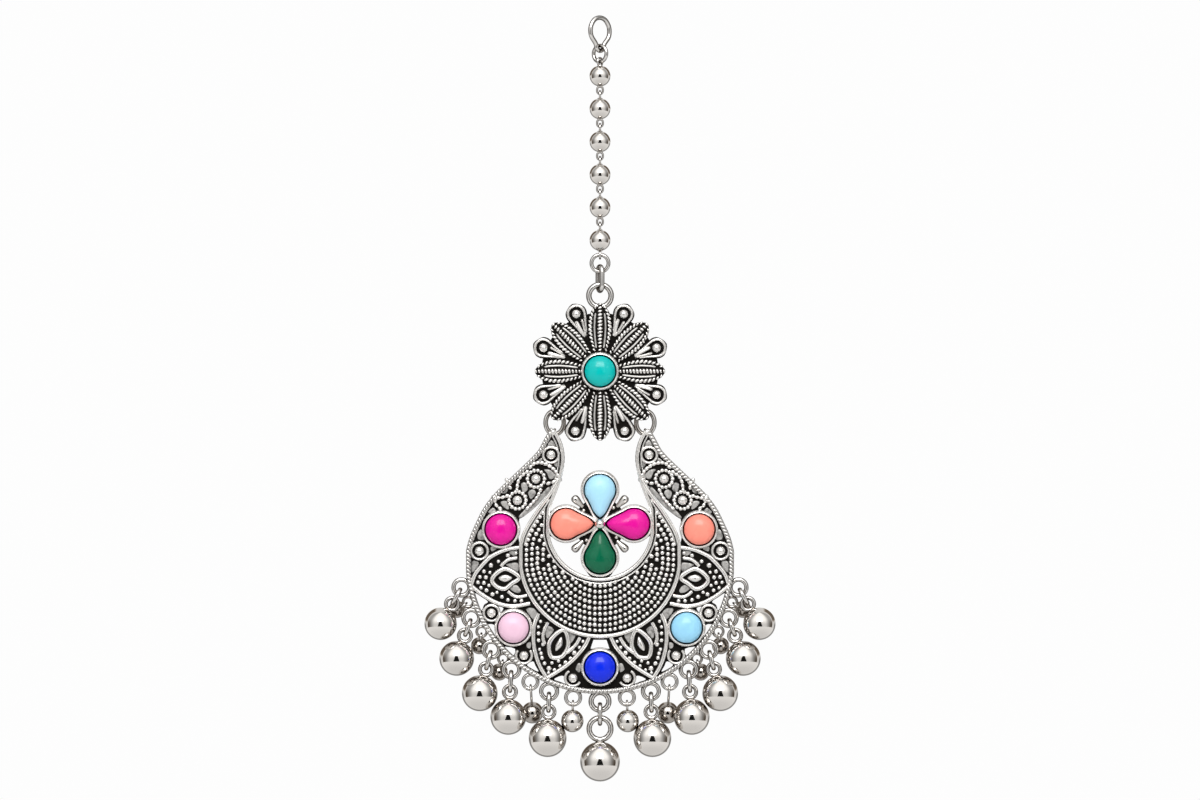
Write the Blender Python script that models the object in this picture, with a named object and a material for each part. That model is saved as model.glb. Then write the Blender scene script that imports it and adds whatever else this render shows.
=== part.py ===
"""Maang tikka: a hair hook, a bead chain, a petalled flower and a pierced crescent with ball drops.

The origin is the inner top of the hair hook, where the jewel hangs. +Z is up, the front faces -Y
and X runs across. The jewel is symmetric about the plane x = 0.
"""

import math

import bmesh
import bpy
from mathutils import Matrix, Vector

MM = 0.001

# Clearances
WIRE_GAP = 0.11 * MM
STONE_GAP = 0.10 * MM
PLATE_GAP = 0.16 * MM

# Hair hook and top ring
HOOK_WIRE = 0.70 * MM
HOOK_LENGTH = 4.95 * MM
HOOK_WIDTH = 4.30 * MM
HOOK_NECK = 2.30 * MM
HOOK_TURN = 38.0
TOP_RING_OUTER = 3.00 * MM
TOP_RING_WIRE = 0.58 * MM

# Bead chain
BEAD_COUNT = 6
BEAD_DIAMETER = 3.15 * MM
BEAD_SPACE = 1.78 * MM
EYE_WIRE = 0.33 * MM
LOWER_RING_OUTER = 3.15 * MM
LOWER_RING_WIRE = 0.60 * MM
OVAL_LINK_WIRE = 0.75 * MM
OVAL_LINK_DROP = 1.94 * MM
OVAL_LINK_TURN = 20.0

# Flower
FLOWER_LOOP_OUTER = 4.20 * MM
FLOWER_LOOP_WIRE = 0.86 * MM
LOOP_SEAT = 0.55 * MM
FLOWER_RADIUS = 10.20 * MM
FLOWER_PETALS = 8
FLOWER_STONE = 4.80 * MM

# Jump rings that carry the crescent, and the bails that hold them
JUMP_RING_LENGTH = 4.20 * MM
JUMP_RING_WIDTH = 3.45 * MM
JUMP_RING_WIRE = 0.72 * MM
BAIL_WIRE = 0.44 * MM

# Plates, both of one thickness, and the height of the work raised on them
PLATE_BACK = 0.45 * MM
PLATE_FRONT = -0.25 * MM
PETAL_BACK = 0.40 * MM
PETAL_FRONT = -0.18 * MM
RIM_TOP = -0.90 * MM
EDGE_TOP = -0.72 * MM
BOSS_TOP = -0.80 * MM
BEZEL_WALL = 0.42 * MM
BEZEL_TOP = -1.45 * MM
STONE_DOME = 1.05 * MM

# Crescent
RIM_RADIUS = 19.80 * MM
RIM_WIDTH = 0.76 * MM
INNER_RIM_WIDTH = 0.66 * MM
EDGE_WIDTH = 0.60 * MM
ROUND_STONE = 4.80 * MM
BOSS_OUTER = 2.80 * MM
PEAR_WIDTH = 4.80 * MM
PEAR_START = 0.95 * MM
PEAR_BITE = 0.03 * MM
FLOWER_BALL = 1.44 * MM
FLOWER_POST = 1.20 * MM
FLOWER_BUD = 1.00 * MM
BUD_FRONT = -0.30 * MM

# Drops
FRAME_RING_OUTER = 3.06 * MM
FRAME_RING_WIRE = 0.68 * MM
CENTRE_RING_OUTER = 3.50 * MM
CENTRE_RING_WIRE = 0.84 * MM
BALL_RING_OUTER = 2.44 * MM
BALL_RING_WIRE = 0.60 * MM
CENTRE_BALL_RING_OUTER = 4.10 * MM
CENTRE_BALL_RING_WIRE = 0.84 * MM
DROP_LINK_WIRE = 0.70 * MM
LARGE_BALL = 5.40 * MM
SMALL_BALL = 3.40 * MM
SMALL_RING_OUTER = 2.75 * MM
SMALL_RING_WIRE = 0.58 * MM
SMALL_EYE_WIRE = 0.34 * MM

# The crescent's ornament is laid out in 132nds of the rim radius, across and up from its centre
CRESCENT_PART = RIM_RADIUS / 132
# The flower's is laid out in 68ths of the flower radius, out along a petal and across it
FLOWER_PART = FLOWER_RADIUS / 68

INNER_CIRCLE = {"up": 32.5, "radius": 52.6}
MID_CIRCLE = {"up": 3, "radius": 79.8}
INNER_FLOWER_UP = 35.5

# Half outlines of the crescent from the horn's tip, as (across, up)
HORN_OUTER = [(-48, 128.5), (-53.5, 119), (-59.5, 108), (-68, 98.5), (-80, 87), (-92, 75.5),
              (-104, 63.5), (-114, 50.5), (-121.5, 36), (-128, 21), (-131.3, 9)]
HORN_INNER = [(-45, 127), (-40, 117), (-37.5, 107), (-37.2, 98), (-39, 87), (-41, 79),
              (-44, 70), (-48, 60), (-51.5, 50)]
MID_RIM = [(-41.5, 79), (-47, 70), (-54, 60), (-61, 50.5), (-67, 41.5), (-72.5, 32.5),
           (-76.5, 24), (-79, 15)]

# Raised edges of the petals on the left, as (across, up)
PETAL_EDGES = [
    [(-81, 12), (-91, 10.5), (-100, 8), (-110, 2), (-118, -6), (-125, -15), (-129, -26)],
    [(-129, -26), (-120, -33.5), (-110, -40), (-100, -44.5), (-90, -46.5), (-80, -46), (-70, -44)],
    [(-61.5, -54), (-65, -63), (-66.5, -74), (-66, -86), (-63, -99), (-59, -109), (-53, -118.5)],
    [(-53, -118.5), (-40, -110.5), (-30, -103), (-22, -95), (-15, -86), (-11, -78)],
]
PETAL_ARCS = [
    [(-82, 2), (-92, 0.5), (-98, -4)],
    [(-90, -33), (-83, -37), (-76, -35.5)],
    [(-52, -63), (-56, -72), (-56, -81)],
    [(-20, -78), (-24, -85), (-30, -91)],
]
PETAL_EYES = [
    {"corners": [(-80, -19), (-95, -9), (-108, -20), (-96, -29)], "centre": (-95, -19.5)},
    {"corners": [(-38, -70), (-51, -83), (-47, -98), (-33, -82)], "centre": (-42, -84)},
]

# Round stones on the left and on the axis, and the small bosses, as (across, up)
ROUND_STONES = {
    "stone_upper": (-99, 30),
    "stone_side": (-86.4, -68),
    "stone_bottom": (0, -107.5),
}
RINGED_BOSSES = [(-49, 104.5), (-120.5, 8.5), (-64, 80.5), (-82.5, 59), (-108.5, -53.5),
                 (-76, -96), (-27, -118.5)]

# Gaps cut through the plate on the left, and the one on the axis, as (across, up)
LEFT_GAPS = [
    [(-47, 73), (-60, 54), (-73, 34), (-80.5, 16), (-80.5, 41), (-67, 54), (-53, 69)],
    [(-125.5, -34), (-118, -38), (-112, -42.5), (-116, -45.5), (-118.5, -51), (-123.5, -45)],
    [(-102, -47.5), (-96.5, -49), (-100.5, -54)],
    [(-113, -65.5), (-106, -65.5), (-104, -73), (-104.5, -79), (-110.5, -71)],
    [(-97.5, -87.5), (-85, -89.5), (-87.5, -97.5), (-93, -93)],
    [(-73, -105.5), (-67, -102), (-64.5, -106.5), (-61.5, -112.5), (-69, -109)],
    [(-46, -120), (-39, -116.5), (-35, -118), (-33.5, -124.5), (-40, -122.5)],
]
AXIS_GAP = [(-6.5, -80.5), (6.5, -80.5), (9.5, -89.5), (-9.5, -89.5)]

# Half outlines of the flower's petals, as (out along the petal, half-width), and the place of the
# ball in a looped one
RIBBED_PETAL = [(19, 7.3), (30, 10), (43, 12), (57, 9.4), (68, 0.8)]
LOOPED_PETAL = [(33, -4.5), (50, -5.5), (60, -8.5), (67, -7), (71, 0)]
LOOPED_BALL = 61

# Where a jump ring is held: on the flower in shares of its radius, on the crescent of its rim's
PETAL_BAIL = {"across": 0.667, "up": -0.585}
HORN_BAIL = {"across": 0.3434, "up": 0.947}

# The four pear stones of the crescent's inner flower: the turn from straight up, to the left
PEAR_STONES = {"stone_pear_top": 0, "stone_pear_left": 90, "stone_pear_bottom": 180,
               "stone_pear_right": 270}

# Large drops of the left half and the centre. Angle: place on the rim from straight down.
# Lean: outward from the plumb line. Ball: share of the large ball. Slack: link's spare length in
# wires. Neck: how far the ball's ring stands out, in shares of its wire.
LARGE_DROPS = [
    {"name": "1", "angle": 78.5, "lean": 29.8, "ball": 0.905, "slack": 0.00, "neck": 0.60},
    {"name": "2", "angle": 65.5, "lean": 19.9, "ball": 0.972, "slack": 0.00, "neck": 0.60},
    {"name": "3", "angle": 50.3, "lean": 14.7, "ball": 1.000, "slack": 0.30, "neck": 0.65},
    {"name": "4", "angle": 38.8, "lean": 3.8, "ball": 1.000, "slack": 0.75, "neck": 0.72},
    {"name": "5", "angle": 21.1, "lean": 1.8, "ball": 1.056, "slack": 0.35, "neck": 0.80},
]
CENTRE_DROP = {"name": "centre", "angle": 0.0, "lean": 0.0, "ball": 1.111, "slack": 0.30, "neck": 0.85}

# Small drops of the left half. Lean: outward. Back: swung behind the large ones.
# Ball: share of the small ball. Stem: straight length of the eye, in balls.
SMALL_DROPS = [
    {"name": "1", "angle": 29.6, "lean": -3.0, "back": 33.0, "ball": 0.970, "stem": 0.66},
    {"name": "2", "angle": 11.0, "lean": 2.0, "back": 0.0, "ball": 1.000, "stem": 0.05},
]

SILVER = {"color": (0.78, 0.77, 0.75), "metallic": 1.0, "roughness": 0.12}
ANTIQUE = {"color": (0.55, 0.54, 0.52), "metallic": 1.0, "roughness": 0.28}
STONE_COLORS = {
    "turquoise": (0.0, 0.52, 0.52),
    "magenta": (0.83, 0.01, 0.35),
    "coral": (1.0, 0.30, 0.20),
    "pale_pink": (0.91, 0.60, 0.78),
    "sky_blue": (0.22, 0.70, 0.95),
    "light_blue": (0.42, 0.77, 0.95),
    "royal_blue": (0.0, 0.03, 0.80),
    "green": (0.0, 0.16, 0.07),
}


def clear_scene():
    """Remove every object that the new file holds."""
    for obj in list(bpy.data.objects):
        bpy.data.objects.remove(obj, do_unlink=True)


def material(name, color, metallic=0.0, roughness=0.08):
    """A plain Principled material."""
    found = bpy.data.materials.get(name)
    if found:
        return found
    made = bpy.data.materials.new(name)
    made.use_nodes = True
    shader = made.node_tree.nodes["Principled BSDF"]
    shader.inputs["Base Color"].default_value = (*color, 1.0)
    shader.inputs["Metallic"].default_value = metallic
    shader.inputs["Roughness"].default_value = roughness
    made.diffuse_color = (*color, 1.0)
    return made


# Points and outlines, in the plane of a plate: across and up
def circle(radius, count, centre=(0.0, 0.0), start=0.0):
    """Points of a circle, counter-clockwise."""
    return [
        (
            centre[0] + radius * math.cos(start + math.tau * i / count),
            centre[1] + radius * math.sin(start + math.tau * i / count),
        )
        for i in range(count)
    ]


def arc(radius, first, last, count, centre=(0.0, 0.0)):
    """Points of an arc between two angles measured from straight down, both ends included."""
    angles = [math.radians(first + (last - first) * i / count) for i in range(count + 1)]
    return [(centre[0] + radius * math.sin(a), centre[1] - radius * math.cos(a)) for a in angles]


def stadium(length, radius, half_turn):
    """A closed loop of two half circles of a radius, their centres a length apart along Y."""
    top = [math.pi * i / half_turn for i in range(half_turn + 1)]
    points = [(radius * math.cos(a), length / 2 + radius * math.sin(a)) for a in top]
    if length < radius * 0.1:
        return [(x, y - length / 2) for x, y in points] + [
            (-radius * math.cos(a), -radius * math.sin(a)) for a in top[1:-1]
        ]
    return points + [(-x, -y) for x, y in points]


def pear(end_radius, length, start, grow, count):
    """A pear along +Y: a sharp tip at the start, a round end, the outline grown by a distance."""
    centre = start + length - end_radius
    half = math.asin(end_radius / (centre - start))
    sweep = math.pi / 2 + half
    tip = start - grow / math.sin(half)
    angles = [sweep * (2 * i / count - 1) for i in range(count + 1)]
    radius = end_radius + grow
    return [(0.0, tip)] + [(-radius * math.sin(a), centre + radius * math.cos(a)) for a in angles]


def turned(points, degrees):
    """Points turned about the origin, counter-clockwise."""
    turn = math.radians(degrees)
    return [
        (x * math.cos(turn) - y * math.sin(turn), x * math.sin(turn) + y * math.cos(turn))
        for x, y in points
    ]


def moved(points, across, up):
    """Points moved in their plane."""
    return [(x + across, y + up) for x, y in points]


def mirrored(points):
    """Points mirrored to the other side of the jewel."""
    return [(-x, y) for x, y in points]


def in_parts(points, part):
    """Table points turned into real lengths."""
    return [(x * part, y * part) for x, y in points]


# Solids
def to_object(bm):
    """A temporary object from a finished bmesh."""
    bmesh.ops.recalc_face_normals(bm, faces=bm.faces)
    mesh = bpy.data.meshes.new("piece")
    bm.to_mesh(mesh)
    bm.free()
    obj = bpy.data.objects.new("piece", mesh)
    bpy.context.scene.collection.objects.link(obj)
    return obj


def skin(sections, closed=False):
    """Join equal sections of 3-D points into one solid, capped at its ends unless it closes."""
    bm = bmesh.new()
    loops = [[bm.verts.new(point) for point in section] for section in sections]
    size = len(loops[0])
    pairs = list(zip(loops, loops[1:]))
    if closed:
        pairs.append((loops[-1], loops[0]))
    for lower, upper in pairs:
        for i in range(size):
            bm.faces.new((lower[i], lower[(i + 1) % size], upper[(i + 1) % size], upper[i]))
    if not closed:
        bm.faces.new(loops[0])
        bm.faces.new(loops[-1])
    return to_object(bm)


def slab(outline, holes, back, front):
    """A flat plate with holes, filled between its outline and their edges."""
    curve = bpy.data.curves.new("outline", "CURVE")
    curve.dimensions = "2D"
    curve.fill_mode = "BOTH"
    curve.extrude = (back - front) / 2
    for points in [outline, *holes]:
        spline = curve.splines.new("POLY")
        spline.points.add(len(points) - 1)
        for point, (x, y) in zip(spline.points, points):
            point.co = (x, y, 0.0, 1.0)
        spline.use_cyclic_u = True
    flat = bpy.data.objects.new("outline", curve)
    bpy.context.scene.collection.objects.link(flat)
    bm = bmesh.new()
    bm.from_mesh(bpy.data.meshes.new_from_object(flat))
    bpy.data.objects.remove(flat, do_unlink=True)
    bmesh.ops.remove_doubles(bm, verts=bm.verts, dist=0.0001 * MM)
    upright = Matrix.Translation((0, (back + front) / 2, 0)) @ Matrix.Rotation(math.pi / 2, 4, "X")
    bmesh.ops.transform(bm, matrix=upright, verts=bm.verts)
    return to_object(bm)


def cup(outline, wall, back, front, floor):
    """A walled setting: an outline drawn forward, its wall inset and its pocket pushed back."""
    bm = bmesh.new()
    face = bm.faces.new([bm.verts.new((x, back, z)) for x, z in outline])
    drawn = bmesh.ops.extrude_face_region(bm, geom=[face])
    verts = [item for item in drawn["geom"] if isinstance(item, bmesh.types.BMVert)]
    bmesh.ops.translate(bm, verts=verts, vec=(0, front - back, 0))
    lid = [item for item in drawn["geom"] if isinstance(item, bmesh.types.BMFace)][0]
    bm.normal_update()
    bmesh.ops.inset_region(bm, faces=[lid], thickness=wall, use_even_offset=True)
    pushed = bmesh.ops.extrude_discrete_faces(bm, faces=[lid])["faces"][0]
    bmesh.ops.translate(bm, verts=pushed.verts, vec=(0, floor - front, 0))
    return to_object(bm)


def ridge(path, width, base, top, closed=False, top_width=0.0):
    """A raised line on a plate: a wedge, or a flat-topped wall, along a path in its plane."""
    sections = []
    count = len(path)
    for i, (x, z) in enumerate(path):
        before = Vector(path[i]) - Vector(path[i - 1]) if closed or i > 0 else None
        after = Vector(path[(i + 1) % count]) - Vector(path[i]) if closed or i < count - 1 else None
        first = (before or after).normalized()
        last = (after or before).normalized()
        along = (first + last).normalized()
        stretch = 1 / max(along.dot(first), 0.5)
        normal = Vector((-along.y, along.x)) * stretch
        offsets = [(-width / 2, base), (-top_width / 2, top)]
        if top_width:
            offsets.append((top_width / 2, top))
        offsets.append((width / 2, base))
        sections.append([(x + normal.x * o, y, z + normal.y * o) for o, y in offsets])
    return skin(sections, closed)


def wire(path, radius, place, sides=5, closed=True):
    """Round wire along a planar path, laid in its own XY plane and then placed."""
    sections = []
    count = len(path)
    for i, (x, y) in enumerate(path):
        before = Vector(path[i]) - Vector(path[i - 1]) if closed or i > 0 else None
        after = Vector(path[(i + 1) % count]) - Vector(path[i]) if closed or i < count - 1 else None
        along = ((before or after).normalized() + (after or before).normalized()).normalized()
        normal = Vector((along.y, -along.x))
        ring = []
        for k in range(sides):
            turn = math.tau * k / sides
            out = radius * math.cos(turn)
            point = Vector((x + normal.x * out, y + normal.y * out, radius * math.sin(turn)))
            ring.append(place @ point)
        sections.append(ring)
    return skin(sections, closed)


def ball(radius, place, around=12, along=6):
    """A ball with its poles on its own Z axis."""
    bm = bmesh.new()
    bmesh.ops.create_uvsphere(bm, u_segments=around, v_segments=along, radius=radius, matrix=place)
    return to_object(bm)


def cone(start, end, start_radius, end_radius, sides=6):
    """A tapered bar between two points."""
    start = Vector(start)
    axis = Vector(end) - start
    turn = axis.to_track_quat("Z", "Y").to_matrix().to_4x4()
    place = Matrix.Translation(start + axis / 2) @ turn
    bm = bmesh.new()
    bmesh.ops.create_cone(
        bm, cap_ends=True, segments=sides, radius1=start_radius, radius2=end_radius,
        depth=axis.length, matrix=place,
    )
    return to_object(bm)


def stepped(outline, crown, steps, top):
    """A solid that rises in steps, each the outline's share at a height, to a point at the crown."""
    bm = bmesh.new()
    loops = []
    for share, y in steps:
        loops.append([
            bm.verts.new((crown[0] + (x - crown[0]) * share, y, crown[1] + (z - crown[1]) * share))
            for x, z in outline
        ])
    size = len(outline)
    for lower, upper in zip(loops, loops[1:]):
        for i in range(size):
            bm.faces.new((lower[i], lower[(i + 1) % size], upper[(i + 1) % size], upper[i]))
    bm.faces.new(loops[0])
    apex = bm.verts.new((crown[0], top, crown[1]))
    for i in range(size):
        bm.faces.new((loops[-1][i], loops[-1][(i + 1) % size], apex))
    return to_object(bm)


def cabochon(outline, crown, back, girdle, top):
    """A domed stone: its outline drawn forward to the girdle and rounded in to the crown."""
    steps = [(1.0, back), (1.0, girdle)]
    for share in (0.80, 0.45):
        steps.append((share, girdle + (top - girdle) * math.sqrt(1 - share * share)))
    return stepped(outline, crown, steps, top)


def at(x, y, z):
    """A placement without a turn."""
    return Matrix.Translation((x, y, z))


def facing(x, y, z):
    """A placement whose XY plane is the jewel's front plane, with its Y upward."""
    return at(x, y, z) @ Matrix.Rotation(math.pi / 2, 4, "X")


def edge_on(x, y, z, lean=0.0):
    """A placement whose XY plane holds the depth axis and a hanging line that leans in degrees."""
    return at(x, y, z) @ Matrix.Rotation(math.radians(lean), 4, "Y") @ Matrix.Rotation(
        math.pi / 2, 4, "Z") @ Matrix.Rotation(math.pi / 2, 4, "X")


def fuse(name, pieces, look, origin=(0.0, 0.0, 0.0)):
    """Join overlapping pieces into one solid node, with its origin at a point."""
    base, *others = pieces
    if others:
        group = bpy.data.collections.new("operands")
        bpy.context.scene.collection.children.link(group)
        for piece in others:
            bpy.context.scene.collection.objects.unlink(piece)
            group.objects.link(piece)
        join = base.modifiers.new("join", "BOOLEAN")
        join.operation = "UNION"
        join.solver = "EXACT"
        join.operand_type = "COLLECTION"
        join.collection = group
        bpy.context.view_layer.update()
        graph = bpy.context.evaluated_depsgraph_get()
        joined = bpy.data.meshes.new_from_object(base.evaluated_get(graph))
        base.modifiers.clear()
        base.data = joined
        for piece in others:
            bpy.data.objects.remove(piece, do_unlink=True)
        bpy.data.collections.remove(group)
    bm = bmesh.new()
    bm.from_mesh(base.data)
    bmesh.ops.remove_doubles(bm, verts=bm.verts, dist=0.001 * MM)
    bmesh.ops.dissolve_degenerate(bm, edges=bm.edges, dist=0.001 * MM)
    bmesh.ops.dissolve_limit(bm, angle_limit=math.radians(0.2), verts=bm.verts, edges=bm.edges)
    bmesh.ops.triangulate(bm, faces=bm.faces)
    bmesh.ops.translate(bm, verts=bm.verts, vec=-Vector(origin))
    mesh = bpy.data.meshes.new(name)
    bm.to_mesh(mesh)
    bm.free()
    mesh.shade_smooth()
    mesh.set_sharp_from_angle(angle=math.radians(50))
    mesh.materials.clear()
    mesh.materials.append(look)
    base.data = mesh
    base.name = name
    base.location = origin
    return base


def hold_radius(held_wire, holding_wire):
    """Centre-line radius of a loop that holds a wire with the wire gap all round."""
    return held_wire / 2 + WIRE_GAP + holding_wire / 2


# Heights down the chain, each from the piece above
HOOK_BOTTOM = -(HOOK_LENGTH - HOOK_WIRE / 2)
TOP_RING_RADIUS = (TOP_RING_OUTER - TOP_RING_WIRE) / 2
TOP_RING_UP = HOOK_BOTTOM + hold_radius(HOOK_WIRE, TOP_RING_WIRE) - TOP_RING_RADIUS
FIRST_EYE_RADIUS = hold_radius(TOP_RING_WIRE, EYE_WIRE)
FIRST_BEAD_UP = TOP_RING_UP - TOP_RING_RADIUS - FIRST_EYE_RADIUS - BEAD_DIAMETER / 2
BEAD_PITCH = BEAD_DIAMETER + BEAD_SPACE
INNER_EYE_RADIUS = (BEAD_SPACE + EYE_WIRE + WIRE_GAP) / 4
LAST_EYE_RADIUS = hold_radius(LOWER_RING_WIRE, EYE_WIRE)
LOWER_RING_RADIUS = (LOWER_RING_OUTER - LOWER_RING_WIRE) / 2
LAST_BEAD_UP = FIRST_BEAD_UP - (BEAD_COUNT - 1) * BEAD_PITCH
LOWER_RING_UP = LAST_BEAD_UP - BEAD_DIAMETER / 2 - LAST_EYE_RADIUS - LOWER_RING_RADIUS
LOOP_RADIUS = (FLOWER_LOOP_OUTER - FLOWER_LOOP_WIRE) / 2
LINK_BEND = hold_radius(max(FLOWER_LOOP_WIRE, LOWER_RING_WIRE), OVAL_LINK_WIRE)
FLOWER_AXIS_UP = LOWER_RING_UP - LOWER_RING_RADIUS - OVAL_LINK_DROP
FLOWER_UP = FLOWER_AXIS_UP - 2 * LOOP_RADIUS + LOOP_SEAT - FLOWER_RADIUS

# Jump rings: their upper wires in the flower's bails, their lower ones in the crescent's
JUMP_BACK = PLATE_BACK + PLATE_GAP + JUMP_RING_WIRE / 2
BAIL_RADIUS = hold_radius(JUMP_RING_WIRE, BAIL_WIRE)
JUMP_TOP = (PETAL_BAIL["across"] * FLOWER_RADIUS, FLOWER_UP + PETAL_BAIL["up"] * FLOWER_RADIUS)
JUMP_BOTTOM_ACROSS = HORN_BAIL["across"] * RIM_RADIUS
JUMP_SPAN = JUMP_RING_LENGTH - JUMP_RING_WIRE
JUMP_DROP = math.sqrt(JUMP_SPAN ** 2 - (JUMP_TOP[0] - JUMP_BOTTOM_ACROSS) ** 2)
CRESCENT_AXIS_UP = JUMP_TOP[1] - JUMP_DROP
CRESCENT_UP = CRESCENT_AXIS_UP - HORN_BAIL["up"] * RIM_RADIUS

# The inner flower's pears reach from near its middle to the crescent's inner rim, which holds them
FLOWER_CENTRE_UP = INNER_FLOWER_UP * CRESCENT_PART
PEAR_LENGTH = INNER_CIRCLE["radius"] * CRESCENT_PART - PEAR_START - BEZEL_WALL + PEAR_BITE


def hook_path():
    """The hair hook's pear-shaped wire, wide above and narrow below."""
    wire_radius = HOOK_WIRE / 2
    widest = HOOK_WIDTH / 2 - wire_radius
    neck = HOOK_NECK / 2 - wire_radius
    top = wire_radius
    # Shares of the widest half-width and of the height, from the top down one side
    profile = [(0.0, 0.0), (0.50, 0.05), (0.86, 0.20), (1.0, 0.38), (0.90, 0.58)]
    height = top - HOOK_BOTTOM
    side = [(widest * x, top - height * down) for x, down in profile]
    low = [(neck, HOOK_BOTTOM + neck * 1.25), (neck * 0.72, HOOK_BOTTOM + neck * 0.35)]
    right = side + low
    return right + [(0.0, HOOK_BOTTOM)] + [(-x, z) for x, z in reversed(right[1:])]


def make_chain(silver):
    """The hook, the top ring, the beads with their eyes, the lower ring and the oval link."""
    turn = Matrix.Rotation(math.radians(HOOK_TURN), 4, "Z")
    fuse("hook", [wire(hook_path(), HOOK_WIRE / 2, turn @ facing(0, 0, 0))], silver)
    ring = circle(TOP_RING_RADIUS, 10)
    place = at(0, 0, TOP_RING_UP) @ turn.inverted() @ facing(0, 0, 0)
    fuse("top_ring", [wire(ring, TOP_RING_WIRE / 2, place)], silver, (0, 0, TOP_RING_UP))

    for index in range(BEAD_COUNT):
        up = FIRST_BEAD_UP - index * BEAD_PITCH
        first = index == 0
        last = index == BEAD_COUNT - 1
        upper = FIRST_EYE_RADIUS if first else INNER_EYE_RADIUS
        lower = LAST_EYE_RADIUS if last else INNER_EYE_RADIUS
        upper_place = at(0, 0, up + BEAD_DIAMETER / 2 + upper) @ turn.inverted() @ edge_on(0, 0, 0)
        if not first:
            upper_place = edge_on(0, 0, up + BEAD_DIAMETER / 2 + upper)
        lower_up = up - BEAD_DIAMETER / 2 - lower
        lower_place = edge_on(0, 0, lower_up) if last else facing(0, 0, lower_up)
        pieces = [
            ball(BEAD_DIAMETER / 2, at(0, 0, up), 10, 5),
            wire(circle(upper, 10, start=math.pi / 2), EYE_WIRE / 2, upper_place),
            wire(circle(lower, 10, start=math.pi / 2), EYE_WIRE / 2, lower_place),
        ]
        fuse(f"bead_{index + 1}", pieces, silver, (0, 0, up))

    ring = circle(LOWER_RING_RADIUS, 10, start=math.pi / 2)
    lower_ring = wire(ring, LOWER_RING_WIRE / 2, facing(0, 0, LOWER_RING_UP))
    fuse("lower_ring", [lower_ring], silver, (0, 0, LOWER_RING_UP))

    top = LOWER_RING_UP - LOWER_RING_RADIUS + hold_radius(LOWER_RING_WIRE, OVAL_LINK_WIRE)
    bottom = FLOWER_AXIS_UP - hold_radius(FLOWER_LOOP_WIRE, OVAL_LINK_WIRE)
    link_up = (top + bottom) / 2
    path = stadium(top - bottom - 2 * LINK_BEND, LINK_BEND, 6)
    turn = at(0, 0, link_up) @ Matrix.Rotation(math.radians(OVAL_LINK_TURN), 4, "Z") @ edge_on(0, 0, 0)
    fuse("oval_link", [wire(path, OVAL_LINK_WIRE / 2, turn)], silver, (0, 0, link_up))


def bail(across, up):
    """A bail's ring around a jump ring's wire, its front half inside the plate."""
    place = edge_on(across, JUMP_BACK, up)
    return wire(circle(BAIL_RADIUS, 10), BAIL_WIRE / 2, place)


def ribbed_petal(turn):
    """A pointed petal that rises to a rib along its middle."""
    sections = []
    for along, half in RIBBED_PETAL:
        line = [(along, -half), (along, 0), (along, half)]
        left, middle, right = moved(turned(in_parts(line, FLOWER_PART), turn), 0, FLOWER_UP)
        sections.append([
            (left[0], PLATE_BACK, left[1]), (left[0], PLATE_FRONT, left[1]),
            (middle[0], EDGE_TOP, middle[1]),
            (right[0], PLATE_FRONT, right[1]), (right[0], PLATE_BACK, right[1]),
        ])
    return skin(sections)


def make_flower(antique, looks):
    """The petalled flower plate with its loop and bails, and its turquoise."""
    part = FLOWER_PART
    stone_edge = FLOWER_STONE / 2
    bezel = stone_edge + BEZEL_WALL
    axis = (0, 0, FLOWER_AXIS_UP)
    pieces = [slab(moved(circle(26 * part, 12), 0, FLOWER_UP), [], PLATE_BACK * 0.9, PLATE_FRONT * 0.9)]
    step = 360 / FLOWER_PETALS
    for index in range(FLOWER_PETALS):
        pieces.append(ribbed_petal(90 + step * index))
    for index in range(FLOWER_PETALS):
        turn = 90 + step * (index + 0.5)
        outline = LOOPED_PETAL + [(x, -y) for x, y in reversed(LOOPED_PETAL[:-1])]
        outline = moved(turned(in_parts(outline, part), turn), 0, FLOWER_UP)
        crown = moved(turned([(LOOPED_BALL * part, 0)], turn), 0, FLOWER_UP)[0]
        top = EDGE_TOP * 0.8
        steps = [(1.0, PETAL_BACK), (1.0, PETAL_FRONT), (0.86, top), (0.62, PETAL_FRONT), (0.40, top)]
        pieces.append(stepped(outline, crown, steps, EDGE_TOP * 1.25))
    setting = moved(circle(bezel, 12), 0, FLOWER_UP)
    pieces.append(cup(setting, BEZEL_WALL, 0.0, BEZEL_TOP, PLATE_FRONT))
    hang = facing(0, 0, FLOWER_AXIS_UP - LOOP_RADIUS)
    pieces.append(wire(circle(LOOP_RADIUS, 12, start=math.pi / 2), FLOWER_LOOP_WIRE / 2, hang))
    for side in (1, -1):
        pieces.append(bail(side * JUMP_TOP[0], JUMP_TOP[1]))
    fuse("flower_plate", pieces, antique, axis)

    outline = moved(circle(stone_edge - STONE_GAP, 10), 0, FLOWER_UP)
    girdle = BEZEL_TOP * 0.8
    stone = cabochon(outline, (0, FLOWER_UP), PLATE_FRONT - STONE_GAP, girdle, BEZEL_TOP - STONE_DOME)
    fuse("stone_centre", [stone], looks["turquoise"], (0, 0, FLOWER_UP))


def make_jump_rings(silver):
    """The two oval rings behind the plates, from the flower's bails to the crescent's."""
    for name, side in (("left", -1), ("right", 1)):
        top = Vector((side * JUMP_TOP[0], JUMP_TOP[1]))
        bottom = Vector((side * JUMP_BOTTOM_ACROSS, CRESCENT_AXIS_UP))
        middle = (top + bottom) / 2
        lean = math.atan2(top.x - bottom.x, top.y - bottom.y)
        half_width = (JUMP_RING_WIDTH - JUMP_RING_WIRE) / 2
        oval = [(x * half_width, y * JUMP_SPAN / 2) for x, y in circle(1, 10, start=math.pi / 2)]
        place = at(middle.x, JUMP_BACK, middle.y) @ Matrix.Rotation(lean, 4, "Y") @ facing(0, 0, 0)
        solid = wire(oval, JUMP_RING_WIRE / 2, place)
        fuse(f"jump_ring_{name}", [solid], silver, (middle.x, JUMP_BACK, middle.y))


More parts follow.
